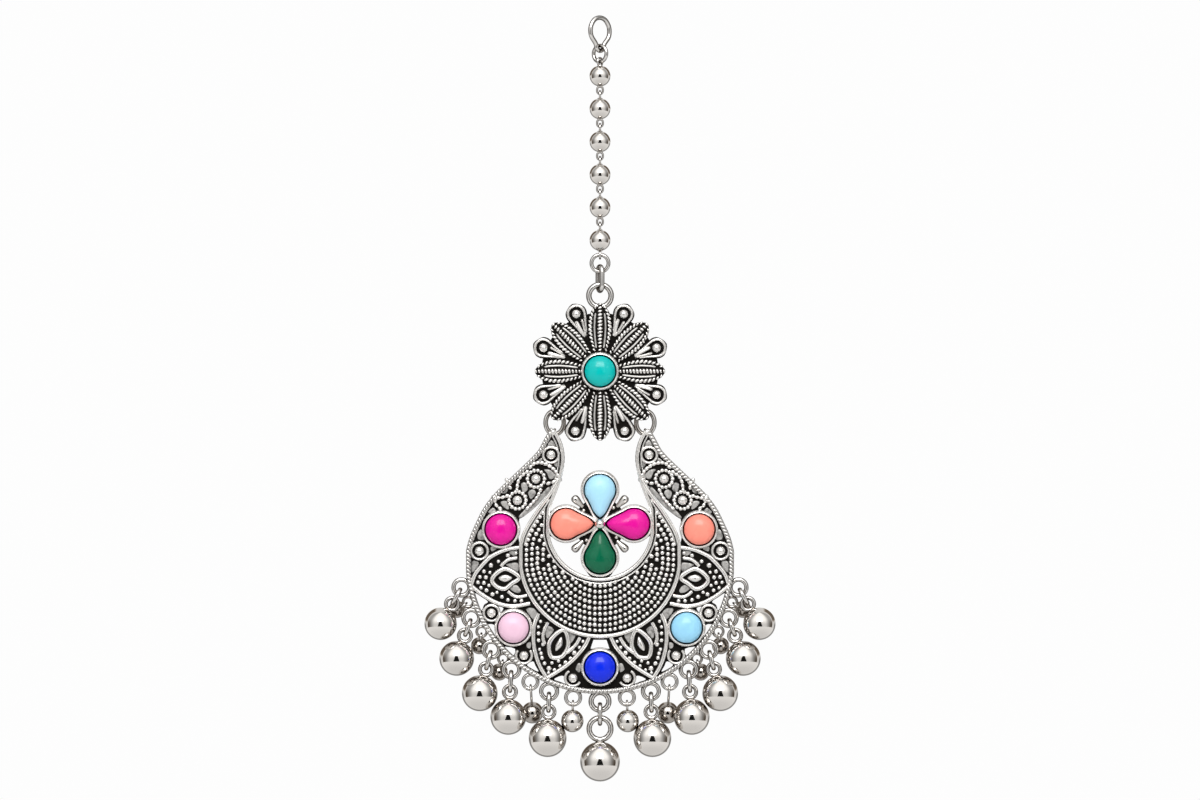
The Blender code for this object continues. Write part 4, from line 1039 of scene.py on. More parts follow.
# The bead chain
class TIKKA_OT_hook_and_links(bpy.types.Operator):
    """Make the hair hook, the top ring, the lower ring and the oval link"""

    bl_idname = "tikka.hook_and_links"
    bl_label = "Hook and links"

    def execute(self, context):
        chain = context.scene.tikka_chain
        heights = layout()
        radius, bottom = chain.hook_wire / 2, heights.hook_bottom
        half, neck = (width / 2 - radius for width in HOOK_WIDTHS)
        side = [(half * x, radius - (radius - bottom) * down) for x, down in HOOK_SIDE]
        side += [(neck, bottom + neck * 1.25), (neck * 0.72, bottom + neck * 0.35)]
        line = smooth([(0.0, radius), *side, (0.0, bottom), *mirrored(reversed(side))], True, 8)
        hook = Shape()
        hook.tube([swivelled(0, HOOK_TURN) @ Vector((x, 0, z)) for x, z in line], radius, 16, True,
                  WIRE)
        finish_silver("hair_hook", hook, "chain", "hook")
        for name, ring, place in (
                ("top_ring", TOP_RING, swivelled(heights.top_ring, -HOOK_TURN) @ UPRIGHT),
                ("lower_ring", LOWER_RING, facing(0, 0, heights.lower_ring))):
            shape = Shape()
            shape.ring(ring.radius, ring.wire, place)
            finish_silver(f"{name}_wire", shape, "chain", name)

        bend = hold_radius(FLOWER_LOOP.wire, chain.link_wire)
        upper = heights.lower_ring - LOWER_RING.radius + hold_radius(LOWER_RING.wire, chain.link_wire)
        lower = heights.flower_axis - bend
        place = swivelled((upper + lower) / 2, LINK_TURN) @ SIDEWAYS
        link = Shape()
        link.tube(placed(place, stadium(upper - lower - 2 * bend, bend)), chain.link_wire / 2, 16,
                  True, WIRE)
        finish_silver("oval_link_wire", link, "chain", "oval_link")
        return {"FINISHED"}


class TIKKA_OT_beads(bpy.types.Operator):
    """Make the six chain beads with their interlocked eyes"""

    bl_idname = "tikka.beads"
    bl_label = "Beads"

    def execute(self, context):
        chain = context.scene.tikka_chain
        heights = layout()
        for index, up in enumerate(heights.beads):
            first, last = index == 0, index == BEADS - 1
            upper = heights.first_eye if first else heights.inner_eye
            lower = heights.last_eye if last else heights.inner_eye
            high, low = up + chain.bead / 2 + upper, up - chain.bead / 2 - lower
            shape = Shape()
            shape.ball((0, 0, up), chain.bead / 2)
            place = swivelled(high, -HOOK_TURN if first else 0.0) @ SIDEWAYS
            shape.ring(upper, chain.eye_wire, place, 32, 10)
            if last:
                shape.ring(lower, chain.eye_wire, edge_on(0, 0, low), 32, 10)
            else:
                bend = 0.78 * lower
                path = placed(facing(0, 0, low), stadium(2 * (lower - bend), bend))
                shape.tube(path, chain.eye_wire / 2, 10, True, WIRE)
            for way in (1, -1):
                collar = [(0, 0, up + way * (chain.bead / 2 + out)) for out in COLLAR_OUT]
                shape.tube(collar, COLLAR_RADII, 16)
            finish_silver(f"bead_{index + 1}_silver", shape, "chain", f"bead_{index + 1}")
        return {"FINISHED"}


# Stones and their settings
def round_outline(centre):
    """A function that gives a round stone's outline grown by a distance."""
    return lambda grow: circle(STONE_RADIUS + grow, 56, centre)


def pear_end():
    """How far out a pear stone reaches: its setting runs a little into the inner rim."""
    bezel = bpy.context.scene.tikka_plate.bezel
    return INNER_CIRCLE["radius"] * CRESCENT_PART - bezel + 0.03


def pear_outline(turn, heights):
    """A function that gives a pear stone's outline grown by a distance."""
    reach = pear_end() - PEAR_START
    return lambda grow: turned(pear(STONE_RADIUS, reach, PEAR_START, grow), turn,
                               heights.inner_flower)


def add_setting(shape, outline_at, foot=0.0):
    """A stone's setting: its outer wall, its rounded lip and its inner wall."""
    wall, top = bpy.context.scene.tikka_plate.bezel, BEZEL_TOP
    section = [(wall + 0.10, foot, 1.0), (wall + 0.08, foot - 0.30, 0.75),
               (wall + 0.03, top + 0.55, 0.1), (wall, top + 0.34, 0.0), (wall - 0.04, top + 0.22, 0.0),
               (wall - 0.12, top + 0.12, 0.0), (wall - 0.20, top + 0.045, 0.0),
               (wall - 0.25, top + 0.01, 0.0), (0.13, top, 0.0), (0.105, top + 0.03, 0.3),
               (0.08, top + 0.10, 1.0), (0.0, top + 0.20, 1.0), (0.0, PLATE_FRONT, 1.0)]
    loops = [at_depth(outline_at(grow), y) for grow, y, _ in section]
    shape.stack(loops, [value for _, _, value in section], True)


def stone_shape(outline_at, crown, rows=16):
    """A cabochon that swells from its setting to a low dome."""
    shape = Shape()
    top = BEZEL_TOP - STONE_DOME
    steps = [(0.985, PLATE_FRONT - STONE_GAP), (1.0, PLATE_FRONT - 0.25), (1.0, GIRDLE)]
    for a in (math.pi / 2 * k / rows for k in range(1, rows)):
        steps.append((math.cos(a), GIRDLE + (top - GIRDLE) * math.sin(a)))
    shape.dome(shrunk(outline_at(-STONE_GAP), crown, steps), (crown[0], top, crown[1]), 0.0)
    return shape


# The flower
def on_petal(points, turn, up):
    """Points of a petal, out and across in parts with a depth in mm, placed on the jewel."""
    flat = turned(sized(points, FLOWER_PART), turn, up)
    return [(x, p[2], z) for (x, z), p in zip(flat, points)]


def petal_half_width(out):
    """Half-width of a ribbed petal at a distance out, in parts."""
    for (a, wa), (b, wb) in zip(PETAL_WIDTHS, PETAL_WIDTHS[1:]):
        if out <= b:
            return wa + (wb - wa) * (out - a) / (b - a)
    return PETAL_WIDTHS[-1][1]


def petal_depth(out, across):
    """Depth of a ribbed petal's front at a distance out, low at both ends and at its sides."""
    bulge = 0.30 + 0.62 * math.sin(math.pi * clamp((out - 17) / 51)) ** 0.7
    return PLATE_FRONT * 0.6 - bulge * (1 - across * across) * 0.72


def ribbed_petal(base, ribs, rows, turn, reach, up):
    """A petal domed in front and flat behind: a rope along it, two fine ribs, two twisted edges."""
    loops, values = [], []
    for out in (17 + 51 * i / 26 for i in range(27)):
        half = petal_half_width(out)
        loop = [(out * reach, half * v, petal_depth(out, v)) for v in (1 - k / 6 for k in range(13))]
        loop += [(out * reach, half * v, PLATE_BACK * (1.0 if abs(v) < 0.9 else 0.7))
                 for v in (-1.0, -0.55, 0.0, 0.55, 1.0)]
        loops.append(on_petal(loop, turn, up))
        values += [1.0] * 13 + [PLAIN] * 5
    base.stack(loops, values)
    for kind, across, run, lift in PETAL_RIBS:
        outs = [21.5 + run * i / (RIB_POINTS - 1) for i in range(RIB_POINTS)]
        path = on_petal([(out * reach, across * petal_half_width(out),
                          petal_depth(out, across) - lift) for out in outs], turn, up)
        if kind == "fine":
            ribs.rib(path[1:-3], 0.30, 0.22, 0.30)
        else:
            rows[kind].append(path)


def looped_petal(base, ribs, turn, up):
    """A looped petal: its pad, its rim, the ball in its end and two spokes."""
    ball_out = 61.8 if turn % 360 < 180 else 64.5
    if abs(math.sin(math.radians(turn))) < 0.5:
        ball_out = 61.2
    drop = ball_out - 61.5
    end = [(56, 7.0), (62 + drop, 8.3), (67.5 + drop, 6.2)]

    def loop(start, wide, cuts):
        half = [(out, across + wide) for out, across in [*start, *end]]
        points = [*half, (70 + drop + wide, 0), *[(x, -y) for x, y in reversed(half)]]
        return smooth(turned(sized(points, FLOWER_PART), turn, up), True, cuts)

    pads = [loop([(34, 1.8), (46, 3.9)], wide, 3) for wide in (2.5, 1.9, 0.6)]
    base.stack([at_depth(pads[index], depth) for index, depth, _ in PAD_SECTION],
               [value for _, _, value in PAD_SECTION])
    rim = loop([(42, 2.4), (48, 4.3)], 0.0, 5)
    shares = [clamp((math.hypot(x, z - up) / FLOWER_PART - 36) / 30) for x, z in rim]
    ribs.ridge(rim, [0.34 + 0.07 * share_out for share_out in shares], 0.35, -0.62, True)
    ribs.boss(turned([(ball_out * FLOWER_PART, 0)], turn, up)[0], **PETAL_BALL)
    for way, width in ((1, 0.56), (-1, 0.36)):
        spoke = [(out, across * way, depth) for out, across, depth in SPOKE]
        ribs.rib(on_petal(smooth(spoke), turn, up), width, 0.30)


class TIKKA_OT_flower(bpy.types.Operator):
    """Make the flower: ribbed petals, looped petals with balls, its setting, loop and bails"""

    bl_idname = "tikka.flower"
    bl_label = "Flower"

    def execute(self, context):
        heights = layout()
        up = heights.flower
        base, ribs, setting, loops = Shape(), Shape(), Shape(), Shape()
        rows = {"rope": [], "edge": []}
        base.slab(turned(circle(58.5 * FLOWER_PART, 64), 0, up), [], PLATE_BACK * 0.85,
                  PLATE_FRONT * 0.4)
        for index, reach in enumerate(PETAL_REACH):
            turn = 90 + 45 * index
            ribbed_petal(base, ribs, rows, turn, reach, up)
            looped_petal(base, ribs, turn + 22.5, up)
        swell = [0.62 + 0.42 * math.sin(math.pi * (i + 1) / 24) for i in range(RIB_POINTS)]
        rope = grain_rows(rows["rope"], "cast_silver", 0.50, (0.46, 0.80, 0.50), 16, swell)
        edges = grain_rows(rows["edge"], "cast_silver", 0.58, (0.84, 0.44, 0.52), 40, swell)
        add_setting(setting, round_outline((0, up)))
        loops.ring(FLOWER_LOOP.radius, FLOWER_LOOP.wire,
                   facing(0, 0, heights.flower_axis - FLOWER_LOOP.radius))
        add_bails(loops, heights.jump_top, heights)
        for name, shape, look in (
                ("petals", base, "cast"), ("ribs", ribs, "cast"), ("ropes", rope, "cast"),
                ("twisted_edges", edges, "cast"), ("setting", setting, "setting"),
                ("loops", loops, "polished")):
            finish(f"flower_{name}", shape, f"{look}_silver", "flower", "antique_silver",
                   "flower_plate")
        finish("turquoise_cabochon", stone_shape(round_outline((0, up)), (0, up)),
               "turquoise_cabochon", "flower", "turquoise", "stone_centre")
        return {"FINISHED"}


class TIKKA_OT_jump_rings(bpy.types.Operator):
    """Make the two oval rings that carry the crescent behind the plates"""

    bl_idname = "tikka.jump_rings"
    bl_label = "Jump rings"

    def execute(self, context):
        heights = layout()
        middle = (heights.jump_top + heights.jump_bottom) / 2
        across, fall = heights.jump_top - heights.jump_bottom
        half = (JUMP_WIDTH - JUMP_RING.wire) / 2
        oval = [(x * half, y * JUMP_RING.radius) for x, y in circle(1, 56)]
        for name, side in (("left", -1), ("right", 1)):
            lean = math.degrees(math.atan2(side * across, fall))
            shape = Shape()
            shape.tube(placed(facing(side * middle.x, heights.jump_back, middle.y, lean), oval),
                       JUMP_RING.wire / 2, 16, True, WIRE)
            finish_silver(f"jump_ring_{name}_wire", shape, "flower", f"jump_ring_{name}")
        return {"FINISHED"}


# The crescent
def both_sides(tables):
    """Every table of points on the left and its mirror image on the right."""
    return [list(points) for points in tables] + [mirrored(points) for points in tables]


def on_crescent(points):
    """Table points placed on the crescent, in millimetres."""
    return turned(sized(points, CRESCENT_PART), 0, layout().crescent)


def crescent_lines():
    """Fine outlines of the crescent's outer, inner and middle rims, in parts."""
    rows = []
    for table, radius, up, first, cuts in (
            (HORN_OUTER, 132.0, 0.0, -84, 60),
            (HORN_INNER, INNER_CIRCLE["radius"], INNER_CIRCLE["up"], -84, 40),
            (MID_RIM, MID_CIRCLE["radius"], MID_CIRCLE["up"], -83, 40)):
        half = smooth(table) + bottom_arc(radius, first, cuts, up)
        rows.append(half + mirrored(reversed(half[:-1])))
    return rows


def offset_line(points, distance):
    """A line moved sideways by a distance, to its left."""
    line = [Vector(p) for p in points]
    ways = [direction(line, i) for i in range(len(line))]
    return [(x - way.y * distance, y + way.x * distance) for (x, y), way in zip(points, ways)]


def spaced(points, pitch):
    """Points at equal steps along a line."""
    line = [Vector(p) for p in points]
    total = sum((b - a).length for a, b in zip(line, line[1:]))
    count = max(round(total / pitch), 1)
    step, walked, found = total / count, 0.0, [line[0]]
    for a, b in zip(line, line[1:]):
        piece = (b - a).length
        while walked + piece >= step * len(found) - 1e-9 and len(found) <= count:
            found.append(a + (b - a) * ((step * len(found) - walked) / piece))
        walked += piece
    return found


def crescent_granules(pitch, row=5.55, wall=4.4, apart=4.3):
    """Places of the granules between the inner circle and the middle rim, in parts."""
    _, inner, mid = crescent_lines()
    centre_in, centre_mid = Vector((0, INNER_CIRCLE["up"])), Vector((0, MID_CIRCLE["up"]))
    limits, inner = spaced(mid, 2.0), spaced(inner, 2.0)
    found = []

    def clear(point, others):
        return min((point - other).length for other in others)

    for k in range(1, 11):
        line = offset_line(mid, row * k)
        for point in spaced(list(reversed(line[:len(line) // 2 + 1])), pitch):
            in_band = ((point - centre_in).length > INNER_CIRCLE["radius"] and point.y < 71
                       and (point - centre_mid).length < MID_CIRCLE["radius"] + 20)
            if (in_band and clear(point, limits) > max(row * k - 0.9, wall)
                    and clear(point, inner) >= wall
                    and all((point - q).length > apart for q in found)):
                found.append(point)
                if point.x < -1.0:
                    found.append(Vector((-point.x, point.y)))
    return found


def crescent_plate(heights):
    """The pierced plate, its polished patches and the webs behind the inner flower's settings."""
    outer, inner, _ = crescent_lines()
    plate = Shape()
    gaps = [on_crescent(smooth(points, True, 3)) for points in both_sides(LEFT_GAPS)]
    plate.slab(on_crescent(outer + list(reversed(inner))), [*gaps, on_crescent(AXIS_GAP)],
               PLATE_BACK, PLATE_FRONT)
    for points in both_sides(FLOOR_PATCHES):
        flat = on_crescent(smooth(points, True, 3))
        steps = ((1.0, RIDGE_FOOT), (0.98, -0.285), (0.90, -0.30), (0.5, -0.30))
        plate.stack(shrunk(flat, middle_of(flat), steps), [0.62, 0.60, 0.505, 0.49])
    for x, z, radius in ((0, 0, 26), (-41, 0, 15), (41, 0, 15), (0, -41, 15)):
        centre = (x * CRESCENT_PART, heights.inner_flower + z * CRESCENT_PART)
        plate.slab(circle(radius * CRESCENT_PART, 48, centre), [], 0.14, -0.45)
    bezel = bpy.context.scene.tikka_plate.bezel
    for turn in PEAR_STONES.values():
        plate.slab(pear_outline(turn, heights)(bezel * 0.9), [], 0.12, PLATE_FRONT + 0.03)
    return plate


def crescent_ridges(edge):
    """The smooth raised lines: inner and middle rims, petal edges, arcs and eyes."""
    _, inner, mid = crescent_lines()
    top = [p for p in mid if 8 < p[1] < 66]
    half = len(top) // 2
    rows = [(inner, 0.52, PLATE_BACK, RIM_TOP), (offset_line(inner, -3.9), 0.30, RIDGE_FOOT, -0.66),
            (mid, edge, RIDGE_FOOT, RIM_TOP)]
    rows += [(offset_line(points, 3.6), 0.34, RIDGE_FOOT, EDGE_TOP)
             for points in (top[:half], top[half:])]
    rows += [(smooth(points), edge, RIDGE_FOOT, EDGE_TOP - 0.08) for points in both_sides(PETAL_EDGES)]
    rows += [(smooth(points), edge * 0.9, RIDGE_FOOT, EDGE_TOP) for points in both_sides(PETAL_ARCS)]
    lines = Shape()
    for points, *section in rows:
        lines.ridge(on_crescent(points), *section)
    for eye in PETAL_EYES:
        for rim, heart in zip(both_sides([eye["rim"]]), both_sides([eye["heart"]])):
            lines.ridge(on_crescent(smooth(rim, True)), 0.60, RIDGE_FOOT, EDGE_TOP, True)
            flat = on_crescent(smooth(heart, True))
            middle = middle_of(flat)
            steps = ((1.0, -0.1), (0.95, -0.35), (0.72, -0.60), (0.38, -0.74))
            lines.dome(shrunk(flat, middle, steps), (middle[0], -0.78, middle[1]),
                       [1.0, 0.9, 0.35, 0.0])
    return lines


def crescent_bosses():
    """Small balls in plain rings, in open rings and in rings of granules, and the knobs."""
    bosses = Shape()
    for x, z, radius in [*RING_BOSSES, *mirrored(RING_BOSSES)]:
        centre, = on_crescent([(x, z)])
        bosses.ridge(circle((radius - 1.1) * CRESCENT_PART, 36, centre), 0.40, RIDGE_FOOT, EDGE_TOP,
                     True)
        bosses.boss(centre, **RING_BALL)
    for side in (1, -1):
        for x, z, first, last in OPEN_BOSSES:
            centre, = on_crescent([(x * side, z)])
            if side < 0:
                first, last = 180 - last, 180 - first
            arc = circle(7.9 * CRESCENT_PART, 30, centre, first, last)
            bosses.ridge(arc, 0.40, RIDGE_FOOT, EDGE_TOP)
            bosses.boss(centre, **RING_BALL)
    for centre in on_crescent([*GRANULE_BOSSES, *mirrored(GRANULE_BOSSES)]):
        bosses.boss(centre, **GRANULE_RING_BALL)
    for x, z, size in [*KNOBS, *mirrored(KNOBS)]:
        centre, = on_crescent([(x, z)])
        bosses.boss(centre, -0.40, size * CRESCENT_PART / 2, 20, 12, -0.5)
    return bosses


def granulation(sizes):
    """Single granules: rings round bosses, the field of the inner crescent, and the petals'."""
    chance = random.Random(11)
    dots, dot_sizes = [], []
    for centre in on_crescent([*GRANULE_BOSSES, *mirrored(GRANULE_BOSSES)]):
        dots += at_depth(circle(8.6 * CRESCENT_PART, 14, centre), -0.42)
        dot_sizes += [0.95] * 14
    field = [(point.x + chance.uniform(-0.25, 0.25), point.y + chance.uniform(-0.25, 0.25))
             for point in crescent_granules(sizes.granule_pitch / CRESCENT_PART)]
    dots += at_depth(on_crescent(field), -0.42)
    dot_sizes += [1.0] * len(field)
    petals = [*PETAL_GRANULES, *mirrored(PETAL_GRANULES)]
    dots += at_depth(on_crescent(petals), -0.40)
    dot_sizes += [size / 3.8 for _, _, size in petals]
    return grown(group_named("granules", granule_tree), [[dot] for dot in dots], dot_sizes, {
        "Diameter": sizes.granule * MM, "Height": 0.72, "Uneven": 0.07, "Seed": 7,
        "Look": looks()["cast_silver"]})


def beaded_lines():
    """Beaded lines: along both horns and the leaf arcs."""
    horn = [p for p in crescent_lines()[1] if p[1] > 80]
    lines = [[p for p in horn if p[0] < 0], [p for p in horn if p[0] > 0]]
    lines += [smooth(points) for points in both_sides(BEADED_ARCS)]
    return grain_rows([at_depth(on_crescent(points), -0.56) for points in lines], "cast_silver",
                      0.62, (0.80, 0.58, 0.44), 14)


def crescent_settings(heights):
    """Settings of the round and pear stones, and the post in the inner flower's middle."""
    settings = Shape()
    for centre in on_crescent(ROUND_STONES.values()):
        add_setting(settings, round_outline(centre))
    for turn in PEAR_STONES.values():
        add_setting(settings, pear_outline(turn, heights), 0.10)
    up = heights.inner_flower
    settings.tube([(0, 0.05, up), (0, BEZEL_TOP, up)], 0.6, 16, patina=0.9)
    return settings


def crescent_rings(heights):
    """Polished work: the inner flower's ball and buds, the drops' rings and the bails."""
    rings = Shape()
    up = heights.inner_flower
    rings.boss((0, up), **MIDDLE_BALL)
    radii = [radius for _, radius in smooth(BUD)]
    for turn in (-45, 45, 135, 225):
        line = turned([(out * CRESCENT_PART, 0) for out, _ in BUD], turn, up)
        rings.tube(smooth(at_depth(line, -0.3)), radii, 16, patina=WIRE)
        rings.boss(turned([(21 * CRESCENT_PART, 0.30)], turn, up)[0], **BUD_BALL)
    for row in [*LARGE_DROPS, *SMALL_DROPS]:
        ring = SMALL_RING if row in SMALL_DROPS else drop_rings(row)[0]
        for side in sides_of(row):
            centre = rim_ring(row, side, ring, heights)
            rings.ring(ring.radius, ring.wire, facing(centre.x, 0, centre.z), 44, 14)
    add_bails(rings, heights.jump_bottom, heights)
    return rings


class TIKKA_OT_crescent(bpy.types.Operator):
    """Make the pierced crescent with its rims, petals, granules, bosses, settings and rings"""

    bl_idname = "tikka.crescent"
    bl_label = "Crescent"

    def execute(self, context):
        sizes = context.scene.tikka_plate
        heights = layout()
        outer = on_crescent(crescent_lines()[0])
        band = Shape()
        band.ridge(outer, sizes.rim_rope * 0.97, PLATE_BACK, -0.62, crown=0.22)
        rope = grain_rows([at_depth(outer, -0.66)], "rope_silver", sizes.rope_pitch,
                          (1.02, 0.43, 0.50), 50)
        for name, shape, look in (
                ("plate", crescent_plate(heights), "cast"),
                ("lines", crescent_ridges(sizes.edge), "cast"), ("bosses", crescent_bosses(), "cast"),
                ("granules", granulation(sizes), "cast"), ("rim_band", band, "rope"),
                ("rim_rope", rope, "rope"), ("beaded_lines", beaded_lines(), "cast"),
                ("settings", crescent_settings(heights), "setting"),
                ("rings", crescent_rings(heights), "polished")):
            finish(f"crescent_{name}", shape, f"{look}_silver", "crescent", "antique_silver",
                   "crescent_frame")
        stones = {name: (round_outline(centre), centre) for name, centre in
                  zip(ROUND_STONES, on_crescent(ROUND_STONES.values()))}
        for name, turn in PEAR_STONES.items():
            crown, = turned([(0, pear_end() - STONE_RADIUS)], turn, heights.inner_flower)
            stones[name] = (pear_outline(turn, heights), crown)
        for name, stone in stones.items():
            slot = STONE_FINISH[name]
            finish(f"{name}_cabochon", stone_shape(*stone), f"{slot}_cabochon", "crescent", slot, name)
        return {"FINISHED"}


# The drops
def drop_rings(row):
    """The rim's ring and the ball's ring of a large drop."""
    return CENTRE_RINGS if row["name"] == "centre" else SIDE_RINGS


def sides_of(row):
    """Both sides, or one for a drop on the axis."""
    return (1, -1) if row["angle"] else (1,)


def side_name(row, side):
    """The ending of a drop's name."""
    return row["name"] + ({1: "_right", -1: "_left"}[side] if row["angle"] else "")


def hang_way(lean, side):
    """The direction of a piece that hangs and leans outward in degrees."""
    turn = math.radians(lean) * side
    return Vector((math.sin(turn), 0, -math.cos(turn)))


def rim_ring(row, side, ring, heights, back=0.0):
    """Centre of a ring that is soldered to the rim's outer edge at a drop's angle."""
    radius = RIM_RADIUS + RIM_OVERHANG + ring.outer / 2 - ring.wire * 0.75
    return Vector((0, back, heights.crescent)) + hang_way(row["angle"], side) * radius


def add_small_drop(shape, held, row, side, ring, stem, radius):
    """A ball on a wire eye in a rim ring, leaning outward and swung back."""
    swing = math.radians(row["back"])
    across = hang_way(row["lean"], side)
    held = held + across * ring.radius
    along = across * math.cos(swing) + Vector((0, math.sin(swing), 0))
    place = hanging(*(held + along * stem / 2), -row["lean"] * side)
    place = place @ Matrix.Rotation(swing, 4, "X") @ SIDEWAYS
    eye = hold_radius(ring.wire, EYE_WIRE)
    shape.tube(placed(place, stadium(stem, eye, 10)), EYE_WIRE / 2, 10, True, WIRE)
    shape.ball(held + along * (eye + stem + radius), radius, along, 44, 26)


def make_large_drop(row, side, sizes, heights):
    """One large ball with its ring, and its oval link."""
    rim, eye = drop_rings(row)
    hang = rim_ring(row, side, rim, heights)
    along = hang_way(row["lean"], side)
    ring = hang + along * (rim.outer / 2 + WIRE_GAP + row["slack"] * sizes.link_wire + eye.outer / 2)
    radius = sizes.large_ball * row["ball"] / 2
    centre = ring + along * (eye.outer / 2 - eye.wire + eye.wire * row["neck"] + radius)
    upper = hang + along * (rim.radius - hold_radius(rim.wire, sizes.link_wire))
    lower = ring - along * (eye.radius - hold_radius(eye.wire, sizes.link_wire))
    bend = hold_radius(max(rim.wire, eye.wire), sizes.link_wire)
    lean = -row["lean"] * side
    name = side_name(row, side)
    link = Shape()
    oval = stadium((upper - lower).length - 2 * bend, bend, 10)
    link.tube(placed(edge_on(*(upper + lower) / 2, lean), oval), sizes.link_wire / 2, 14, True, WIRE)
    finish_silver(f"drop_link_{name}_wire", link, "crescent", f"drop_link_{name}")
    ball = Shape()
    ball.ball(centre, radius, along, 64, 40)
    ball.ring(eye.radius, eye.wire, facing(*ring, lean), 48, 14)
    # The foot that joins the ring to the ball
    foot = ring + along * (eye.outer / 2 - eye.wire * 0.5)
    top = centre - along * radius * 0.93
    ball.tube([foot, (foot + top) / 2, top], [eye.wire * s for s in (0.45, 0.62, 1.15)], 18,
              patina=WIRE)
    finish_silver(f"drop_ball_{name}_silver", ball, "crescent", f"drop_ball_{name}")


class TIKKA_OT_drops(bpy.types.Operator):
    """Make the large and small balls with their rings and links"""

    bl_idname = "tikka.drops"
    bl_label = "Drops"

    def execute(self, context):
        sizes = context.scene.tikka_drop
        heights = layout()
        for row in LARGE_DROPS:
            for side in sides_of(row):
                make_large_drop(row, side, sizes, heights)
        for row in SMALL_DROPS:
            for side in (1, -1):
                shape = Shape()
                add_small_drop(shape, rim_ring(row, side, SMALL_RING, heights), row, side, SMALL_RING,
                               sizes.small_ball * row["stem"], sizes.small_ball * row["ball"] / 2)
                name = f"small_drop_{side_name(row, side)}"
                finish_silver(f"{name}_silver", shape, "crescent", name)
        hidden = Shape()
        for row in HIDDEN_DROPS:
            for side in (1, -1):
                centre = rim_ring(row, side, HIDDEN_RING, heights, HIDDEN_BACK)
                hidden.ring(HIDDEN_RING.radius, HIDDEN_RING.wire, facing(*centre), 32, 10)
                add_small_drop(hidden, centre, row, side, HIDDEN_RING, HIDDEN_STEM,
                               sizes.hidden_ball / 2)
        finish_silver("hidden_small_drops", hidden, "crescent")
        return {"FINISHED"}


# The stage
def stage_world(tent):
    """White behind the jewel; in reflections a white tent, a grey floor line and a dark opening."""
    world = bpy.data.worlds.new("tent")
    world.use_nodes = True
    bpy.context.scene.world = world
    world.node_tree.nodes.clear()
    tree = Tree(world.node_tree)
    place = tree.node("ShaderNodeTexCoord")["Generated"]
    x, y, z = tree.node("ShaderNodeSeparateXYZ", {0: place})

    def degrees(kind, *values):
        """An angle in degrees."""
        return tree.math("DEGREES", tree.math(kind, *values))

    def mask(*limits):
        """One where every value is past its second limit, fading to nothing at its first."""
        made, *others = [tree.ramp(*limit, kind="SMOOTHSTEP") for limit in limits]
        for other in others:
            made = tree.math("MULTIPLY", made, other)
        return made

    def dimmed(value, where, by):
        """A value made less by a share under a mask."""
        return tree.math("MULTIPLY", value, tree.math("MULTIPLY_ADD", where, -by, 1.0))

    def toward(value, where, target):
        """A value that becomes another under a mask."""
        return tree.math("MULTIPLY_ADD", where, tree.math("SUBTRACT", target, value), value)

    front, side = tree.math("MULTIPLY", y, -1.0), tree.math("ABSOLUTE", x)
    azimuth = degrees("ARCTAN2", side, front)
    around = degrees("ARCTAN2", z, side)
    elevation = degrees("ARCSINE", z)
    # Tent: white above and in front, grey at its sides and towards the horizon
    value = dimmed(tent, mask((azimuth, 38, 78)), 0.66)
    value = dimmed(value, mask((elevation, 34, -4)), 0.42)
    # Dark lower corners where the side panels end; past them the backdrop's sides are pale again
    edge = mask((azimuth, 66, 98), (azimuth, 105, 101), (elevation, 26, -8))
    value = dimmed(value, edge, 0.70)
    value = toward(value, mask((azimuth, 101, 105)), 0.72)
    # The gaps between the tent's roof and the backdrop, behind and above on both sides
    gap = mask((around, 3, 14), (around, 74, 60), (y, 0.26, 0.42), (y, 0.99, 0.96))
    value = dimmed(value, gap, 0.80)
    # Backdrop behind the jewel
    value = toward(value, mask((y, 0.955, 0.99)), 0.9)
    # Soft box above the camera
    box = mask((azimuth, 24, 19), (elevation, 20, 24), (elevation, 54, 48), (front, 0.0, 0.05))
    value = tree.math("MULTIPLY_ADD", box, 6.5, value)
    # Floor below the horizon, and a soft grey band behind and below
    floor_tone = tree.math("MULTIPLY_ADD", mask((z, -0.25, -1.0)), -0.16, 0.86)
    ground = mask((elevation, -16.2, -17.4))
    value = toward(value, ground, floor_tone)
    value = dimmed(value, mask((around, 6, -10), (y, 0.55, 0.68), (y, 0.97, 0.90)), 0.66)
    # The dark opening around the camera, wider below
    half = tree.ramp(elevation, -17, 22, 21, 8)
    opening = mask((tree.math("SUBTRACT", half, azimuth), -0.4, 1.2), (elevation, 22, 19),
                   (elevation, -17.2, -16.2), (front, 0.5, 0.6))
    value = dimmed(value, opening, 0.985)

    brown = dimmed(tree.math("MAXIMUM", gap, edge), ground, 1.0)
    warm = tree.mix(brown, tone((1.0, 0.985, 0.965)), tone((1.0, 0.80, 0.62)))
    lit = tree.node("ShaderNodeBackground", {"Color": warm, "Strength": value})[0]
    seen = tree.node("ShaderNodeBackground", {"Color": tone((1.0, 1.0, 1.0)), "Strength": 0.985})[0]
    camera = tree.node("ShaderNodeLightPath")["Is Camera Ray"]
    tree.node("ShaderNodeOutputWorld", {
        "Surface": tree.node("ShaderNodeMixShader", {0: camera, 1: lit, 2: seen})[0]})


def floor_look():
    """Plain pale floor paint, very slightly mottled."""
    tree, shader = new_material("pale_floor")
    tree.plug(shader, {"Roughness": 0.7, "Base Color": tree.mix(
        tree.cloud(40.0, 3.0), tone((0.90, 0.90, 0.895)), tone((0.94, 0.94, 0.935)))})
    return bpy.data.materials["pale_floor"]


def add_to_scene(name, data, location=(0.0, 0.0, 0.0), rotation=(0.0, 0.0, 0.0)):
    """An object of the stage at a place in metres."""
    made = bpy.data.objects.new(name, data)
    made.location, made.rotation_euler = location, rotation
    bpy.context.scene.collection.objects.link(made)
    return made


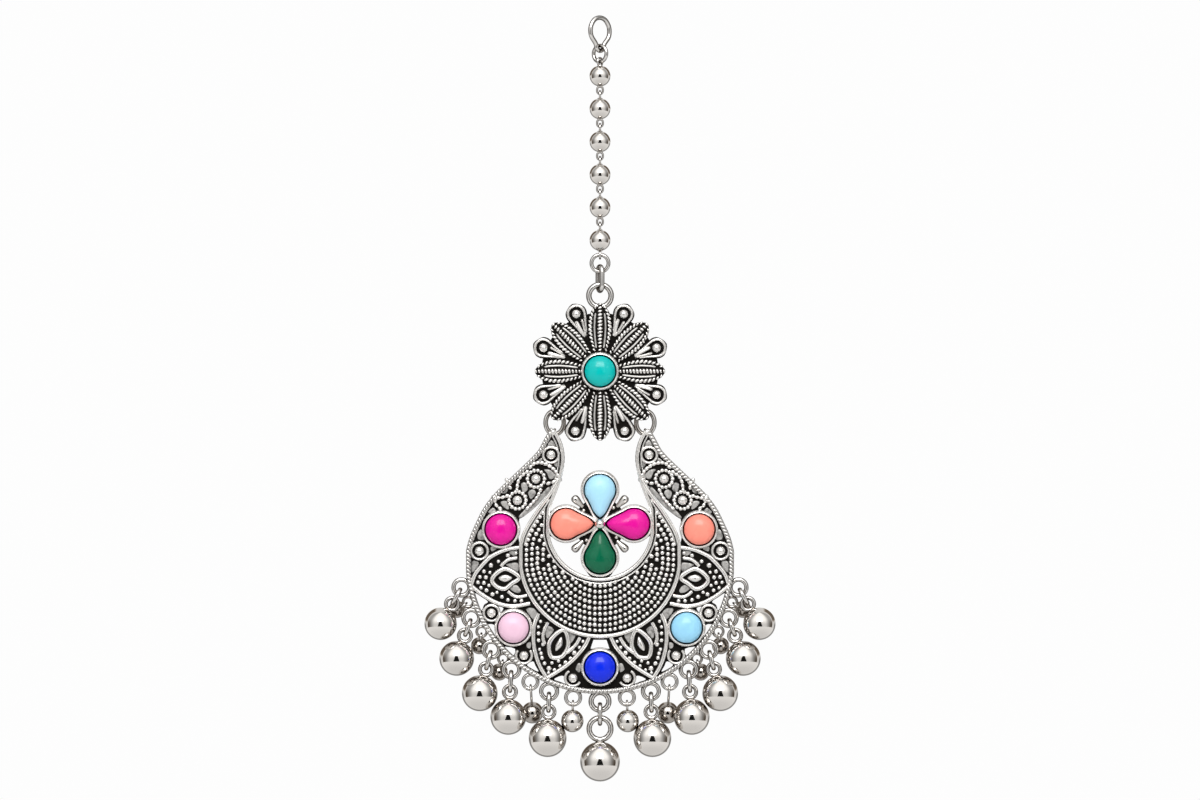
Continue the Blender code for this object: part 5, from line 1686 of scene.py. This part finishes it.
class TIKKA_OT_stage(bpy.types.Operator):
    """Make the pale floor, the light of the tent and the camera"""

    bl_idname = "tikka.stage"
    bl_label = "Stage"

    def execute(self, context):
        scene = context.scene
        values = scene.tikka_stage
        stage_world(values.tent)
        mesh = bpy.data.meshes.new("floor")
        bm = bmesh.new()
        bmesh.ops.create_circle(bm, cap_ends=True, segments=96, radius=FLOOR_RADIUS)
        bmesh.ops.translate(bm, verts=bm.verts, vec=(0, FLOOR_FORWARD, -values.floor_drop))
        bm.to_mesh(mesh)
        bm.free()
        mesh.materials.append(floor_look())
        floor = add_to_scene("floor", mesh)
        floor.visible_glossy = False

        key = bpy.data.lights.new("key", "AREA")
        key.shape = "RECTANGLE"
        key.size, key.size_y = KEY_SIZE
        key.energy = KEY_ENERGY
        aim = (Vector(KEY_AIM) - Vector(KEY_PLACE)).to_track_quat("-Z", "Y").to_euler()
        add_to_scene("key", key, KEY_PLACE, aim).visible_glossy = False

        camera = bpy.data.cameras.new("camera")
        camera.sensor_width = SENSOR
        camera.lens = SENSOR * values.distance / values.view_width
        camera.clip_start, camera.clip_end = 0.01, 20.0
        scene.camera = add_to_scene("camera", camera, (0.0, -values.distance, VIEW_UP),
                                    (math.pi / 2, 0.0, 0.0))
        scene.view_settings.view_transform = "Standard"
        scene.view_settings.look = "None"
        return {"FINISHED"}


OPERATORS = [TIKKA_OT_hook_and_links, TIKKA_OT_beads, TIKKA_OT_flower, TIKKA_OT_jump_rings,
             TIKKA_OT_crescent, TIKKA_OT_drops, TIKKA_OT_stage]


class TIKKA_PT_panel(bpy.types.Panel):
    """Lists the jewel's sizes and the operators that make its pieces"""

    bl_idname = "TIKKA_PT_panel"
    bl_label = "Maang tikka"
    bl_space_type = "VIEW_3D"
    bl_region_type = "UI"
    bl_category = "Maang tikka"

    def draw(self, context):
        for key, kind in GROUPS.items():
            box = self.layout.box()
            group = getattr(context.scene, key)
            for name in kind.__annotations__:
                box.prop(group, name)
        for operator in OPERATORS:
            self.layout.operator(operator.bl_idname)


CLASSES = [*GROUPS.values(), *OPERATORS, TIKKA_PT_panel]


def register():
    """Register every class and hang the settings on the scene."""
    for kind in CLASSES:
        bpy.utils.register_class(kind)
    for key, kind in GROUPS.items():
        setattr(bpy.types.Scene, key, bpy.props.PointerProperty(type=kind))


def unregister():
    """Take the settings off the scene and unregister every class."""
    for key in GROUPS:
        delattr(bpy.types.Scene, key)
    for kind in reversed(CLASSES):
        bpy.utils.unregister_class(kind)


def main():
    """Make every piece."""
    register()
    for operator in OPERATORS:
        group, name = operator.bl_idname.split(".")
        getattr(getattr(bpy.ops, group), name)()


if __name__ == "__main__":
    main()
